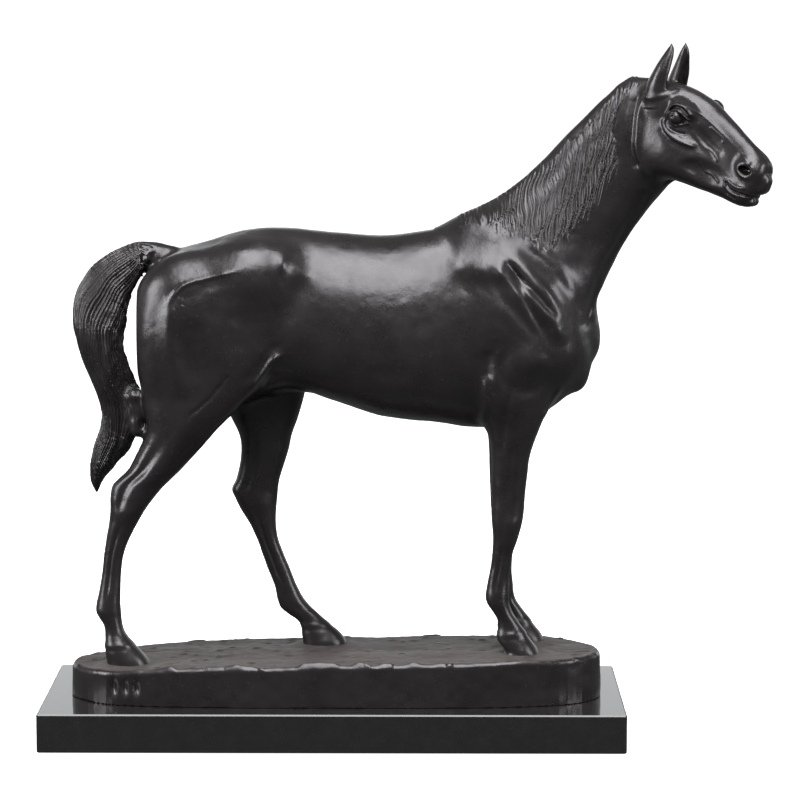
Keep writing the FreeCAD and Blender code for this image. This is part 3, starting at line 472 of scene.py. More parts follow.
def leg_field(p, name):
    table, kind = LEGS[name], "hind" if "hind" in name else "fore"
    z = p[:, 2]
    d = section(z, p[:, 0], p[:, 1], table, 2.05, 12.0)
    low, high, centre, half = table.at(np.clip(z, table.low, table.high))
    share = (p[:, 0] - low) / np.maximum(high - low, 1)  # 0 at the back, 1 at the front
    flank = smooth_step(0.25, 0.8, np.abs(p[:, 1] - centre) / np.maximum(half, 1))
    relief = np.zeros(len(p))
    for place, width, start, end, rise in LEG_GROOVES[kind]:
        groove = bell(share, place, width) * smooth_step(*start, z) * smooth_step(*end, z)
        relief += rise * groove * flank
    for place, width, height, reach, rise in LEG_SPOTS[kind]:
        relief += rise * np.exp(-((share - place) / width) ** 2 - ((z - height) / reach) ** 2) * flank
    # coronet: a ridge round the top of the hoof, lower at the heel, with the hoof wall just under it
    coronet = table.low + 11.4 + 1.4 * share
    relief += 0.22 * bell(z, coronet, 1.4)
    relief -= 0.1 * bell(z - coronet, -2.4, 1.2)
    # the cleft between the heels
    cleft = bell(p[:, 1], centre, 1.6) * smooth_step(0.25, 0, share)
    relief -= 1.2 * cleft * smooth_step(coronet + 5, coronet, z)
    return d - relief


def tail_frame(points):
    """Place along the tail, offsets outward and sideways from its centreline, and its half thicknesses."""
    # six steps between stations, evened out
    t = np.linspace(0, len(TAIL) - 1, 6 * (len(TAIL) - 1) + 1)
    path = np.array([np.interp(t, np.arange(len(TAIL)), TAIL[:, c]) for c in range(4)]).T
    for _ in range(3):
        path[1:-1] = (path[:-2] + 2 * path[1:-1] + path[2:]) / 4
    x, z = points[:, 0], points[:, 2]
    best, key = np.full(len(points), 1e9), np.zeros(len(points))
    offset = np.zeros(len(points))
    for i in range(len(path) - 1):
        x0, z0 = path[i, :2]
        dx, dz = path[i + 1, :2] - path[i, :2]
        length = math.hypot(dx, dz)
        f = np.clip(((x - x0) * dx + (z - z0) * dz) / length ** 2, 0, 1)
        gap = np.hypot(x - x0 - f * dx, z - z0 - f * dz)
        closer = gap < best
        best = np.where(closer, gap, best)
        key = np.where(closer, i + f, key)
        turned = ((x - x0) * dz - (z - z0) * dx) / length
        offset = np.where(closer, np.sign(turned) * gap, offset)
    index = np.arange(len(path))
    half_in = np.interp(key, index, path[:, 2])
    half_across = np.interp(key, index, path[:, 3])
    along = np.interp(key, index, np.append(0, np.cumsum(np.hypot(*np.diff(path[:, :2], axis=0).T))))
    swing = TAIL_SIDE * smooth_step(14, 70, along)
    return along, offset, points[:, 1] - swing, half_in, half_across


def tail_field(p):
    along, out, across, half_in, half_across = tail_frame(p)
    d = oval(np.hypot(out, across), np.sqrt((out / half_in) ** 2 + (across / half_across) ** 2))
    # hair: broad locks and fine strands, all running along the tail with a slow turn
    angle = np.arctan2(across / half_across, out / half_in)
    grown = smooth_step(2, 22, along)
    turn = angle + 0.3 * np.sin(along * 0.055) + 0.045 * np.sin(along * 0.24 + 2 * angle)
    strands = 0.35 * np.sin(5 * turn) + 0.3 * np.sin(11 * turn + 0.9 * np.sin(along * 0.05))
    parting = 1 - np.abs(np.sin(22 * turn + 0.9 * np.sin(along * 0.09)))
    strands -= 0.75 * parting * (0.8 + 0.4 * noise(p, 5.0, 4))
    inner = smooth_step(0.1, -0.7, np.cos(angle)) * grown
    torn = 0.7 * noise(p, (3.4, 3.4, 6.5), 3) + 0.25 * noise(p, 1.9, 6)
    ragged = inner * smooth_step(24, 44, along) * torn
    d = d - grown * strands * np.minimum(1, half_in / 9) - ragged
    # the lump that joins the hair to the thigh
    lump = rod(p, (-102, -14.5, 177), (-100.5, -16, 161), 5.0, 4.4)
    return join(d, lump - 0.55 * noise(p, (3.6, 3.6, 5.0), 5), 5.0)


CREST = [(58, 268.5), (70, 273), (80, 278.5), (90, 283.5), (100, 290), (110, 297.5), (120, 306.5), (130, 317),
         (140, 328), (150, 338), (158, 344)]
MANE_EDGE = [(157, 339), (153, 336), (149, 331), (145.5, 324), (144.5, 316), (144.5, 307), (147, 298),
             (144, 289), (139, 282), (133.5, 275), (127, 267), (120, 260), (112, 255.5), (105, 256),
             (99, 258), (90, 262), (80, 267), (68, 268)]
MANE_ROOT = 70  # x of the root that the lean is given for
MANE_LEAN = 0.05  # how far that strand runs forward for each millimetre it falls
MANE_TURN = 0.0053  # taken off the lean for each millimetre the root is further forward


def mane_relief(p):
    """Height of the hair that falls on the right side of the neck."""
    x, y, z = p[:, 0], p[:, 1], p[:, 2]
    flat = np.column_stack([x, z, z * 0])
    crest = [(px, pz + 3) for px, pz in CREST]
    edge = outline_distance(x, z, crest + MANE_EDGE) + 2.4 * noise(flat, (2.6, 9, 9), 11)
    cover = smooth_step(2.0, -6.0, edge) * smooth_step(2.5, -2.0, y + 0.035 * (x - 60))
    # each strand leaves the crest at root and leans back more the nearer it is to the poll
    crest_x, crest_z = np.array(CREST).T
    fall = np.maximum(np.interp(x, crest_x, crest_z) - z, 0)
    root = (x - (MANE_LEAN + MANE_TURN * MANE_ROOT) * fall) / (1 - MANE_TURN * fall)
    wander = noise(flat, 16.0, 12)
    root += 0.65 * np.sin(fall * 0.52 + x * 0.1 + 2.2 * wander) + 0.7 * np.sin(fall * 0.2 + x * 0.12) + wander
    fine = 1 - np.abs(np.sin(root * math.pi / 2.2))
    lock = np.sin(root * 2 * math.pi / 5.6 + np.sin(z * 0.2))
    depth = 0.9 + 0.2 * noise(p, 7.0, 14)
    front = bell(edge, -1.6, 1.3) * smooth_step(296, 306, z) * (0.8 + noise(p, 2.4, 15))
    return cover * (0.75 - 0.8 * fine * depth + 0.28 * lock + 0.9 * front)


# Ridges and grooves in the side view: line of x and z, width, rise.
FLANK_STROKES = [
    # shoulder muscles, rear to front: straps and the grooves between them
    ([(80, 246), (86, 233), (93, 224), (99, 217), (108, 204)], 3, -1),
    ([(80, 248), (87, 242), (94, 233), (102, 220)], 2.8, 1.2),
    ([(91, 247), (95, 238), (99, 228), (104, 220), (111, 206)], 2.4, -1.2),
    ([(93, 240), (100, 233), (107, 226), (113, 218), (119, 206)], 4, 2),
    ([(87, 252), (94, 242), (100, 236), (106, 230), (115, 219)], 1.9, -1.7),
    ([(83, 258), (96, 248), (104, 240), (111, 232), (120, 214)], 4.4, 1.9),
    ([(98, 249), (108, 239), (114, 231), (118, 223)], 1.8, -0.6),
    # front of the shoulder blade
    ([(94, 261), (108, 253), (117, 244), (123, 235), (125, 227)], 3.2, 1),
    # shelf across the shoulder blade
    ([(56, 248), (68, 246.5), (80, 246), (93, 245)], 6.5, 2.2),
    ([(68, 238), (77, 235), (86, 226), (93, 212)], 5, -0.8),
    ([(56, 268), (61, 255), (66, 242), (70, 228)], 5, -0.7),  # behind the shoulder blade
    # round the upper arm
    ([(88, 211), (86, 202), (85.5, 195), (89, 187), (98, 183), (107, 187), (114, 196)], 3.2, -0.8),
    ([(86.5, 208), (83.5, 196), (84, 182)], 2.6, 0.8),  # muscle above the elbow
    ([(79, 205), (78.5, 196), (79, 188)], 2.8, -0.7),
    ([(78, 192), (78.3, 178), (76, 164)], 2, 1),  # elbow
    ([(92, 188), (89, 174), (87.5, 160), (87, 148)], 1.9, -0.9),  # along the forearm
    ([(106, 166), (112, 175), (118, 186)], 1.5, 1),  # edge of the breast
    ([(-24, 202), (-30, 199), (-35, 192), (-42, 183)], 1.5, 1.6),  # fold of the flank
    ([(-22, 207), (-31, 204), (-39, 194), (-46, 185)], 2.6, -1),
    ([(-26, 193), (-34, 186), (-41, 178), (-50, 170)], 2, -0.9),
    ([(-16, 244), (-21, 228), (-28, 214), (-36, 200)], 6, -1.6),  # hollow of the flank
    ([(-84, 226), (-76, 237), (-62, 241.5), (-46, 245)], 1.3, 0.8),  # edge of the croup
    ([(-78, 229), (-64, 236), (-48, 240)], 3, -0.4),
    ([(-76, 236), (-81, 226), (-82, 206), (-79, 190), (-76, 176)], 4.6, 2),  # buttock
    ([(-70, 222), (-71, 205), (-68, 186)], 5, -0.9),
    ([(-62, 186), (-73, 164), (-84, 146), (-98, 130), (-107, 112)], 6.5, 1.8),
    ([(-54, 189), (-64, 178), (-75, 169)], 1, -0.7),  # creases above the gaskin
    ([(-52, 192), (-60, 183)], 0.9, -0.5),
    ([(-52, 234), (-56, 214), (-60, 196)], 6, 0.6),
    ([(-38, 238), (-44, 218), (-48, 198)], 5, -0.5),
    ([(22, 210), (16, 188), (8, 172)], 5, 0.4),  # ribs
    ([(48, 218), (42, 196), (36, 176)], 5, 0.4),
]
# Lumps in the side view: place, reach, rise.
FLANK_LUMPS = [
    ((99, 199), (9.5, 8.5), 3.6),  # head of the upper arm
    ((-25, 248.5), (3.2, 4.4), 1.5),  # point of the hip
    ((84, 262), (9, 5), 0.6),  # top of the shoulder blade
    ((107, 198), (5, 6), 0.6),
]


def flank_relief(p):
    """Muscle ridges, folds and grooves of the trunk and shoulder, drawn in the side view."""
    x, z = p[:, 0], p[:, 2]
    side = smooth_step(6, 14, np.abs(p[:, 1]))
    relief = np.zeros(len(p))
    for line, width, rise in FLANK_STROKES:
        relief += stroke(x, z, smooth_line(line), width, rise, fade=True)
    for place, reach, rise in FLANK_LUMPS:
        relief += rise * np.exp(-((x - place[0]) / reach[0]) ** 2 - ((z - place[1]) / reach[1]) ** 2)
    jugular = stroke(x, z, [(158, 282), (146, 258), (136, 240), (129, 216)], 2.2, -0.9)
    jugular += stroke(x, z, [(163, 283), (151, 258), (141, 240), (134, 220)], 2.4, 0.5)
    return relief * side + jugular * smooth_step(3, 8, np.abs(p[:, 1] + 2))


def unevenness(p):
    """The hand-worked surface: slow swells and small dabs."""
    return 0.22 * noise(p, 15.0, 20) + 0.12 * noise(p, 6.0, 21) + 0.04 * noise(p, 2.6, 22)


HEAD_BOX = ((136, -72, 270), (232, 24, 364))
# Parts of the horse: field, corners of its box, width of the fillet that joins it on.
PARTS = [
    (trunk_field, (-104, -48, 145), (140, 48, 282), 1),
    (neck_field, (55, -40, 185), (185, 36, 352), 12),
    (lambda p: leg_field(p, "right_hind_leg"), (-128, -42, 30), (-20, 2, 250), 9),
    (lambda p: leg_field(p, "left_hind_leg"), (-92, -2, 30), (12, 42, 250), 9),
    (lambda p: leg_field(p, "right_fore_leg"), (72, -36, 30), (122, -1, 214), 7),
    (lambda p: leg_field(p, "left_fore_leg"), (72, 1, 30), (122, 36, 214), 7),
    (head_field, *HEAD_BOX, 7),
    (lambda p: ear_field(p, -1), (150, -40, 322), (190, 14, 362), 2),
    (lambda p: ear_field(p, 1), (150, -30, 322), (190, 24, 362), 2),
    (tail_field, (-140, -26, 120), (-78, 16, 262), 3.5),
]
# Reliefs laid over the parts: height of the surface's rise, corners of its box.
RELIEFS = [
    (flank_relief, (-118, -50, 108), (165, 50, 290)),
    (head_relief, *HEAD_BOX),
    (mane_relief, (52, -45, 240), (172, 8, 350)),
]


def within(p, low, high):
    return np.all((p > np.array(low) - MARGIN) & (p < np.array(high) + MARGIN), axis=1)


def horse_field(p):
    """The whole horse."""
    d = np.full(len(p), FAR)
    for part, low, high, k in PARTS:
        near = within(p, low, high)
        if near.any():
            d[near] = join(d[near], part(p[near]), k)
    for relief, low, high in RELIEFS:
        near = within(p, low, high)
        if near.any():
            d[near] -= relief(p[near])
    return d - unevenness(p)


def lower_leg_field(p, name):
    """A leg by itself, which up to its joint is the same surface as the whole horse's."""
    return leg_field(p, name) - flank_relief(p) - unevenness(p)


# ---- the ground's field
GROUND_OUTLINE = smooth_outline([
    (-136, -8), (-134, -20), (-120, -35), (-100, -41.5), (-68, -44.4), (0, -45.2), (60, -44.6), (100, -41.5),
    (125, -33.6), (137.4, -19.6), (138.5, -4), (134, 14), (118, 33), (92, 43), (61, 45.8), (0, 45.8),
    (-20, 45.5), (-60, 44), (-99.5, 34), (-124, 14), (-133, 3),
])
GROUND_BASE = 21.02  # just above the stone
HOOF_SINK = 1.6  # soles sit this deep in the earth


def ground_top(x, y):
    """Height of the modelled earth."""
    flat = np.column_stack([x, y, x * 0])
    top = 41.2 + 0.022 * x - 0.03 * y - 1.5 * smooth_step(-86, -118, x) * smooth_step(0, -26, y)
    top += 0.5 * noise(flat, (30, 14, 9), 31) + 0.22 * noise(flat, (11, 6, 9), 32)
    top += 0.12 * noise(flat, 3.2, 33)
    return top + 1.6 * np.maximum(0, noise(flat, (6, 4, 9), 37) - 0.55)


def ground_field(p):
    x, y, z = p[:, 0], p[:, 1], p[:, 2]
    side = outline_distance(x, y, GROUND_OUTLINE)
    side = side + 0.35 * noise(p, (18, 18, 9), 34) + 0.16 * noise(p, 5.0, 35) - 0.02 * (30 - z)
    top = ground_top(x, y)
    # soles sit in the earth: level ground around each hoof
    for leg in LEGS.values():
        back, front, centre, _ = (column[0] for column in leg.at(np.array([leg.low])))
        gap = np.hypot((x - (back + front) / 2) * 0.8, y - centre)
        level = leg.low + HOOF_SINK
        top = top + (level - top) * smooth_step(17, 9, gap)
    # clay pushed up along the near rim, and tool dents in the left end of the skirt
    rim = bell(side, -2.2, 1.8) * smooth_step(0, -10, y)
    clumps = np.maximum(0, noise(p, (7, 7, 40), 36) + 0.25)
    clumps *= smooth_step(-96, -78, x) * smooth_step(70, 30, x)
    top = top + rim * (0.5 + 2.1 * clumps)
    for place in (-112.5, -106.6, -100.7):
        side = side + 1.7 * np.exp(-((x - place) / 1.7) ** 2 - ((z - 30.5) / 3.4) ** 2) * (y < 0)
    # a fine upright seam
    side = side + 0.22 * bell(x, -37.8, 0.5) * (y < 0)
    d = join(-side, -(z - top), 2.6)
    return np.maximum(-d, GROUND_BASE - z)


# ---- fields to meshes
BLOCK = 4  # grid points along a side of a block, worked out together or not at all
CHUNK = 300000  # points worked out at a time
NEAR_SIDES, NEAR_SLACK = 1.9, 1.2  # a block is near the surface within this many of its sides, plus slack
NEWTON_STEPS = 2
NEWTON_REACH = 0.6  # most that one step moves a point, as a share of the mesh step
LEAST_SLOPE = 0.05  # of the field, squared
CAP_CORNERS = 8  # a face with more corners than this closes a cut


def sample(field, low, counts, step):
    """Field values on a grid, worked out only near the surface."""
    blocks = [c // BLOCK for c in counts]
    grid = np.stack(np.meshgrid(*[np.arange(b) for b in blocks], indexing="ij"), -1).reshape(-1, 3)
    middle = low + (grid * BLOCK + (BLOCK - 1) / 2) * step
    rough = evaluate(field, middle)
    values = np.repeat(rough, BLOCK ** 3).reshape(*blocks, BLOCK, BLOCK, BLOCK)
    values = values.transpose(0, 3, 1, 4, 2, 5).reshape(counts).copy()
    near = grid[np.abs(rough) < NEAR_SIDES * BLOCK * step + NEAR_SLACK]
    offsets = np.stack(np.meshgrid(*[np.arange(BLOCK)] * 3, indexing="ij"), -1).reshape(-1, 3)
    index = (near[:, None, :] * BLOCK + offsets).reshape(-1, 3)
    values[index[:, 0], index[:, 1], index[:, 2]] = evaluate(field, low + index * step)
    return values


def evaluate(field, points):
    return np.concatenate([field(points[i:i + CHUNK]) for i in range(0, len(points), CHUNK)])


def gradient(field, points, step=0.12):
    base = evaluate(field, points)
    slopes = [(evaluate(field, points + step * np.eye(3)[a]) - base) / step for a in range(3)]
    return base, np.stack(slopes, -1)


def surface(field, low, high, step):
    """Vertices and quads of the field's zero level in a box, by surface nets."""
    step = step * COARSE
    low = np.array(low, float)
    counts = [int(math.ceil((h - l) / step / BLOCK) + 1) * BLOCK for l, h in zip(low, high)]
    values = sample(field, low, counts, step)
    inside = values < 0
    cells = np.array(counts) - 1
    total = int(np.prod(cells))
    sums, hits, quads = np.zeros((total, 3)), np.zeros(total), []
    for axis in range(3):
        crossing = np.argwhere(np.diff(inside, axis=axis))
        u, v = (axis + 1) % 3, (axis + 2) % 3
        place = crossing[:, [u, v]]
        crossing = crossing[np.all((place > 0) & (place < cells[[u, v]]), axis=1)]
        after = crossing.copy()
        after[:, axis] += 1
        va, vb = values[tuple(crossing.T)], values[tuple(after.T)]
        point = crossing.astype(float)
        point[:, axis] += va / (va - vb)
        ring = []
        for du, dv in ((-1, -1), (0, -1), (0, 0), (-1, 0)):
            cell = crossing.copy()
            cell[:, u] += du
            cell[:, v] += dv
            flat = np.ravel_multi_index(cell.T, cells)
            ring.append(flat)
            for c in range(3):
                sums[:, c] += np.bincount(flat, point[:, c], total)
            hits += np.bincount(flat, minlength=total)
        quad = np.stack(ring, -1)
        outward = va < 0
        quads.append(np.where(outward[:, None], quad, quad[:, ::-1]))
    used = np.flatnonzero(hits)
    number = np.full(total, -1)
    number[used] = np.arange(len(used))
    verts = low + sums[used] / hits[used][:, None] * step
    reach = NEWTON_REACH * step
    for _ in range(NEWTON_STEPS):
        value, slope = gradient(field, verts)
        move = value[:, None] * slope / np.maximum((slope ** 2).sum(1), LEAST_SLOPE)[:, None]
        verts -= np.clip(move, -reach, reach)
    return verts, number[np.concatenate(quads)]


def add_object(name, data):
    item = bpy.data.objects.new(name, data)
    bpy.context.scene.collection.objects.link(item)
    return item


def casting(name, field, low, high, step, cuts=()):
    """Meshes the field in a box, trims it at the cut planes, closes the cuts and adds it to the object."""
    verts, quads = surface(field, low, high, step)
    mesh = bpy.data.meshes.new(name)
    mesh.from_pydata(verts.tolist(), [], quads.tolist())
    work = bmesh.new()
    work.from_mesh(mesh)
    for point, normal in cuts:
        everything = work.verts[:] + work.edges[:] + work.faces[:]
        cut = bmesh.ops.bisect_plane(work, geom=everything, plane_co=point, plane_no=normal, clear_outer=True)
        rim = [e for e in cut["geom_cut"] if isinstance(e, bmesh.types.BMEdge) and e.is_boundary]
        bmesh.ops.holes_fill(work, edges=rim, sides=0)
    keep_largest(work)
    work.to_mesh(mesh)
    work.free()
    mesh.transform(Matrix.Scale(MM, 4))
    mesh.polygons.foreach_set("use_smooth", [True] * len(mesh.polygons))
    shade_from_field(mesh, field)
    piece = add_object(name, mesh)
    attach(piece, "root")
    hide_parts(name)
    return piece


def keep_largest(work):
    """Drops every loose island of faces but the biggest."""
    seen, islands = set(), []
    for face in work.faces:
        if face in seen:
            continue
        seen.add(face)
        island, queue = [], [face]
        while queue:
            current = queue.pop()
            island.append(current)
            for edge in current.edges:
                fresh = [other for other in edge.link_faces if other not in seen]
                seen.update(fresh)
                queue += fresh
        islands.append(island)
    islands.sort(key=len)
    for island in islands[:-1]:
        bmesh.ops.delete(work, geom=island, context="FACES")
    loose = [v for v in work.verts if not v.link_faces]
    bmesh.ops.delete(work, geom=loose, context="VERTS")


def shade_from_field(mesh, field):
    """Vertex normals from the field, so that neighbouring castings shade as one; cut faces stay flat."""
    co = np.empty(len(mesh.vertices) * 3)
    mesh.vertices.foreach_get("co", co)
    _, slope = gradient(field, co.reshape(-1, 3) / MM, 0.2)
    normal = slope / np.maximum(np.linalg.norm(slope, axis=1), 1e-6)[:, None]
    loops = np.empty(len(mesh.loops), np.int64)
    mesh.loops.foreach_get("vertex_index", loops)
    corner = normal[loops]
    starts, totals = np.empty((2, len(mesh.polygons)), np.int64)
    mesh.polygons.foreach_get("loop_start", starts)
    mesh.polygons.foreach_get("loop_total", totals)
    for i in np.flatnonzero(totals > CAP_CORNERS):
        corner[starts[i]:starts[i] + totals[i]] = mesh.polygons[int(i)].normal
    mesh.normals_split_custom_set(corner.tolist())


# ---- materials
BRONZE_DARK, BRONZE_LIGHT = (0.0100, 0.0085, 0.0087, 1), (0.0170, 0.0146, 0.0147, 1)
BRONZE_SPECK = (0.026, 0.023, 0.022, 1)
EARTH_DUST = (0.058, 0.050, 0.045, 1)
# A mix node's inputs for a and b and its output, by the kind of thing mixed.
MIX_SOCKETS = {"FLOAT": (2, 3, 0), "RGBA": (6, 7, 2)}


def feed(tree, node, inputs):
    """Sets each input to its value, or links it where the value is another node's socket."""
    for key, value in inputs.items():
        if isinstance(value, bpy.types.NodeSocket):
            tree.links.new(value, node.inputs[key])
        else:
            node.inputs[key].default_value = value


def add_node(tree, kind, inputs=None, **settings):
    """Adds a node and returns its outputs."""
    node = tree.nodes.new("ShaderNode" + kind)
    for setting, value in settings.items():
        setattr(node, setting, value)
    feed(tree, node, inputs or {})
    return node.outputs


def new_material(name):
    mat = bpy.data.materials.new(name)
    mat.use_nodes = True
    tree = mat.node_tree
    return mat, tree, tree.nodes["Principled BSDF"], add_node(tree, "TexCoord")["Object"]


def noise_node(tree, vector, scale, detail=3.0, rough=0.55):
    inputs = {"Vector": vector, "Scale": scale, "Detail": detail, "Roughness": rough}
    return add_node(tree, "TexNoise", inputs)["Fac"]


def remap(tree, value, low, high, to_low, to_high):
    inputs = {"Value": value, "From Min": low, "From Max": high, "To Min": to_low, "To Max": to_high}
    return add_node(tree, "MapRange", inputs)["Result"]


def combine(tree, operation, a, b):
    return add_node(tree, "Math", {0: a, 1: b}, operation=operation)[0]


def blend(tree, factor, a, b, kind="RGBA"):
    """a where the factor is 0, and b where it's 1."""
    first, second, out = MIX_SOCKETS[kind]
    return add_node(tree, "Mix", {0: factor, first: a, second: b}, data_type=kind)[out]


def bump(tree, height, strength, distance, normal=None):
    inputs = {"Strength": strength, "Distance": distance, "Height": height}
    if normal is not None:
        inputs["Normal"] = normal
    return add_node(tree, "Bump", inputs)["Normal"]


def bronze_material(name, earth=False):
    """Near-black brown patina, waxed: cloudy colour, paler specks, fine grain and a soft gloss that varies.

    With earth the upward faces are matt and dusty brown, as on the modelled ground.
    """
    mat, tree, shader, place = new_material(name)
    clouds = remap(tree, noise_node(tree, place, 30, 5, 0.6), 0.35, 0.68, 0, 1)
    grain = noise_node(tree, place, 1000, 3, 0.65)
    dabs = noise_node(tree, place, 190, 4, 0.6)
    cells = add_node(tree, "TexVoronoi", {"Vector": place, "Scale": 260, "Randomness": 1.0})
    patch = remap(tree, noise_node(tree, place, 55, 3, 0.6), 0.46, 0.62, 0, 1)
    clear = combine(tree, "MAXIMUM", remap(tree, cells["Distance"], 0.05, 0.2, 0, 1), patch)  # 0 on a speck
    colour = blend(tree, clouds, BRONZE_DARK, BRONZE_LIGHT)
    colour = blend(tree, clear, BRONZE_SPECK, colour)
    gloss = remap(tree, noise_node(tree, place, 75, 5, 0.65), 0.3, 0.7, 0.23, 0.37)
    if earth:
        facing = add_node(tree, "SeparateXYZ", {0: add_node(tree, "NewGeometry")["Normal"]})
        upward = remap(tree, facing["Z"], 0.75, 0.97, 0, 1)
        dust = combine(tree, "MULTIPLY", upward, remap(tree, dabs, 0.3, 0.6, 0.45, 1))
        colour = blend(tree, dust, colour, EARTH_DUST)
        gloss = blend(tree, dust, gloss, 0.68, "FLOAT")
    normal = bump(tree, dabs, 0.22, 0.0006, bump(tree, grain, 0.22, 0.0002))
    feed(tree, shader, {"Base Color": colour, "Roughness": gloss, "Metallic": 0.0, "IOR": 1.5,
                        "Normal": normal})
    return mat


def stone_material():
    """Polished black granite with faint grey and mica flecks."""
    mat, tree, shader, place = new_material("black_granite")
    fleck = remap(tree, noise_node(tree, place, 1100, 2, 0.7), 0.6, 0.8, 0, 1)
    cloud = remap(tree, noise_node(tree, place, 160, 5, 0.7), 0.4, 0.7, 0, 1)
    colour = blend(tree, cloud, (0.0125, 0.0118, 0.0115, 1), (0.0165, 0.0155, 0.0150, 1))
    colour = blend(tree, fleck, colour, (0.034, 0.033, 0.032, 1))
    feed(tree, shader, {"Base Color": colour, "Roughness": remap(tree, fleck, 0, 1, 0.06, 0.12), "IOR": 1.55,
                        "Normal": bump(tree, fleck, 0.02, 0.0001)})
    return mat


def felt_material():
    mat, tree, shader, place = new_material("black_felt")
    fibre = noise_node(tree, place, 1400, 6, 0.75)
    colour = blend(tree, fibre, (0.012, 0.012, 0.013, 1), (0.035, 0.035, 0.037, 1))
    feed(tree, shader, {"Base Color": colour, "Roughness": 0.95, "Sheen Weight": 0.4,
                        "Normal": bump(tree, fibre, 0.5, 0.0004)})
    return mat


def steel_material():
    mat, tree, shader, place = new_material("zinc_steel")
    spangle = noise_node(tree, place, 300, 4)
    colour = blend(tree, spangle, (0.42, 0.42, 0.43, 1), (0.6, 0.6, 0.62, 1))
    feed(tree, shader, {"Base Color": colour, "Roughness": remap(tree, spangle, 0.3, 0.7, 0.28, 0.45),
                        "Metallic": 1.0, "Normal": bump(tree, spangle, 0.15, 0.0002)})
    return mat


def give(piece, material):
    piece.data.materials.clear()
    piece.data.materials.append(material)


# ---- pieces
LEG_ROOM = (4, 14, 2.5)  # in a leg's mesh box: fore and aft of its outline, beside its middle, below its sole


def build_horse(bronze):
    down, up = (0, 0, -1), (0, 0, 1)
    leg_cut, tail_at = (0, 0, LEG_JOINT_Z), (TAIL_JOINT_X, 0, 0)
    neck_at, neck_to, neck_back = tuple(NECK_JOINT), tuple(NECK_ALONG), tuple(-NECK_ALONG)

    torso_low = (TAIL_JOINT_X - MARGIN, -48, LEG_JOINT_Z - MARGIN)
    pieces = [casting("torso_casting", horse_field, torso_low, (140, 48, 288), 1.0,
                      [(leg_cut, down), (neck_at, neck_to), (tail_at, (-1, 0, 0))])]
    pieces.append(casting("neck_and_head_casting", horse_field, (84, -72, 214), (232, 32, 362), 0.52,
                          [(neck_at, neck_back)]))
    for name, table in LEGS.items():
        low_leg = table.val[table.key < LEG_JOINT_Z + 6]
        middle = low_leg[0, 2]
        low = (low_leg[:, 0].min() - LEG_ROOM[0], middle - LEG_ROOM[1], table.low - LEG_ROOM[2])
        high = (low_leg[:, 1].max() + LEG_ROOM[0], middle + LEG_ROOM[1], LEG_JOINT_Z + MARGIN)
        pieces.append(casting(name, lambda p, n=name: lower_leg_field(p, n), low, high, 0.6,
                              [(leg_cut, up), ((0, 0, table.low), down)]))
    tail_high = (TAIL_JOINT_X + MARGIN, 14, 262)
    pieces.append(casting("tail_casting", horse_field, (-140, -28, 122), tail_high, 0.55,
                          [(tail_at, (1, 0, 0))]))
    for piece in pieces:
        give(piece, bronze)


def build_ground():
    piece = casting("ground_casting", ground_field, (-142, -50, 19), (144, 50, 48), 0.85)
    give(piece, bronze_material("bronze_ground", earth=True))


def build_materials():
    bronze = bronze_material("bronze_patina")
    stone, felt, steel = stone_material(), felt_material(), steel_material()
    by_slot = {"bronze": bronze, "stone": stone, "felt": felt, "steel": steel}
    slots = {row["node"]: row["material_slot"] for row in frame["record"]["subparts"]}
    for name, node in nodes.items():
        give(node, by_slot[slots[name]])
    return bronze


# ---- studio
CAMERA_AT = (0.03941, -1.634377, 0.388158)
CAMERA_PITCH, CAMERA_YAW, CAMERA_ROLL = 0.130075, -0.0031088, 0.001305
CAMERA_LENS = 142.81
WHITE = (1, 1, 1, 1)
BACKDROP_LIGHT = 1.1  # strength of the white behind and below the statuette


def build_camera():
    sp, cp = math.sin(CAMERA_PITCH), math.cos(CAMERA_PITCH)
    sy, cy = math.sin(CAMERA_YAW), math.cos(CAMERA_YAW)
    ahead = Vector((sy * cp, cy * cp, -sp))
    right = Vector((cy, -sy, 0))
    above = right.cross(ahead)
    turn = Matrix((right, above, -ahead)).transposed().to_4x4()
    camera = add_object("camera", bpy.data.cameras.new("camera"))
    camera.data.lens = CAMERA_LENS
    camera.data.sensor_width = 36
    camera.data.clip_start = 0.05
    camera.matrix_world = Matrix.Translation(CAMERA_AT) @ turn @ Matrix.Rotation(CAMERA_ROLL, 4, "Z")
    bpy.context.scene.camera = camera


def area_light(name, place, target, width, height, power):
    lamp = bpy.data.lights.new(name, "AREA")
    lamp.shape = "RECTANGLE"
    lamp.size, lamp.size_y, lamp.energy = width, height, power
    lamp.color = (0.985, 0.965, 1.0)
    light = add_object(name, lamp)
    light.location = place
    light.rotation_euler = (Vector(target) - Vector(place)).to_track_quat("-Z", "Y").to_euler()


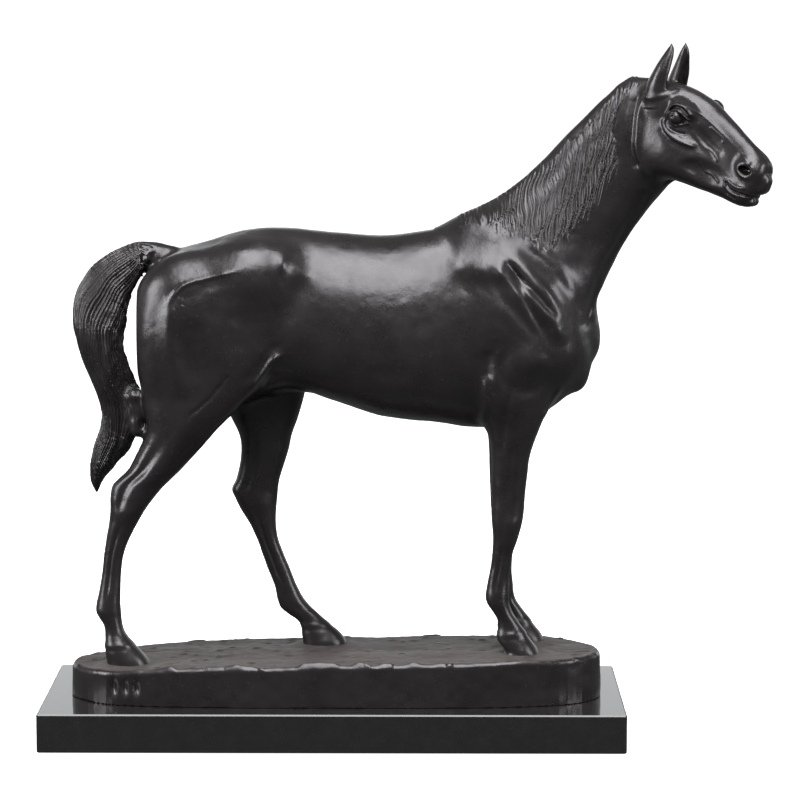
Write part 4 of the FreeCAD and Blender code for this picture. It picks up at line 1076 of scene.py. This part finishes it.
def build_world():
    """White for the camera; the object reflects a dim room that is bright low down behind it."""
    world = bpy.data.worlds.new("studio")
    world.use_nodes = True
    tree = world.node_tree
    tree.nodes.clear()
    way = add_node(tree, "SeparateXYZ", {0: add_node(tree, "TexCoord")["Generated"]})
    behind = remap(tree, way["Y"], 0.2, 0.8, 0, 1)
    below_top, above_foot = remap(tree, way["Z"], 0.2, 0.42, 1, 0), remap(tree, way["Z"], -0.06, 0.04, 0, 1)
    glow = combine(tree, "MULTIPLY", behind, combine(tree, "MULTIPLY", below_top, above_foot))
    glow = remap(tree, glow, 0, 1, 0.15, 1.5)
    room = add_node(tree, "Background", {"Color": (0.95, 0.98, 1, 1), "Strength": glow})[0]
    white = add_node(tree, "Background", {"Color": WHITE, "Strength": BACKDROP_LIGHT})[0]
    seen = add_node(tree, "LightPath")["Is Camera Ray"]
    add_node(tree, "OutputWorld", {"Surface": add_node(tree, "MixShader", {0: seen, 1: room, 2: white})[0]})
    bpy.context.scene.world = world


def build_floor():
    mesh = bpy.data.meshes.new("floor")
    reach = 6.0
    corners = [(x * reach, y * reach, 0) for x, y in ((-1, -1), (1, -1), (1, 1), (-1, 1))]
    mesh.from_pydata(corners, [], [(0, 1, 2, 3)])
    floor = add_object("floor", mesh)
    mat, tree, shader, place = new_material("pale_floor")
    colour = blend(tree, noise_node(tree, place, 3), (0.93, 0.93, 0.93, 1), (0.96, 0.96, 0.96, 1))
    feed(tree, shader, {"Base Color": colour, "Roughness": 0.9, "Specular IOR Level": 0.1,
                        "Emission Color": WHITE, "Emission Strength": BACKDROP_LIGHT})
    floor.visible_diffuse = False  # the pale floor doesn't light the bronze from below
    floor.visible_glossy = False
    give(floor, mat)


def build_studio():
    build_camera()
    build_world()
    build_floor()
    area_light("softbox_above", (0.05, -0.7, 1.45), (0.03, -0.1, 0.2), 0.9, 1.5, 43)
    area_light("strip_left", (-1.5, -0.55, 0.75), (0, 0, 0.2), 0.6, 1.1, 24)
    area_light("fill_right", (1.5, -0.75, 0.65), (0.1, 0, 0.2), 0.6, 0.9, 15)
    bpy.context.scene.view_settings.view_transform = "Standard"


build_horse(build_materials())
build_ground()
build_studio()
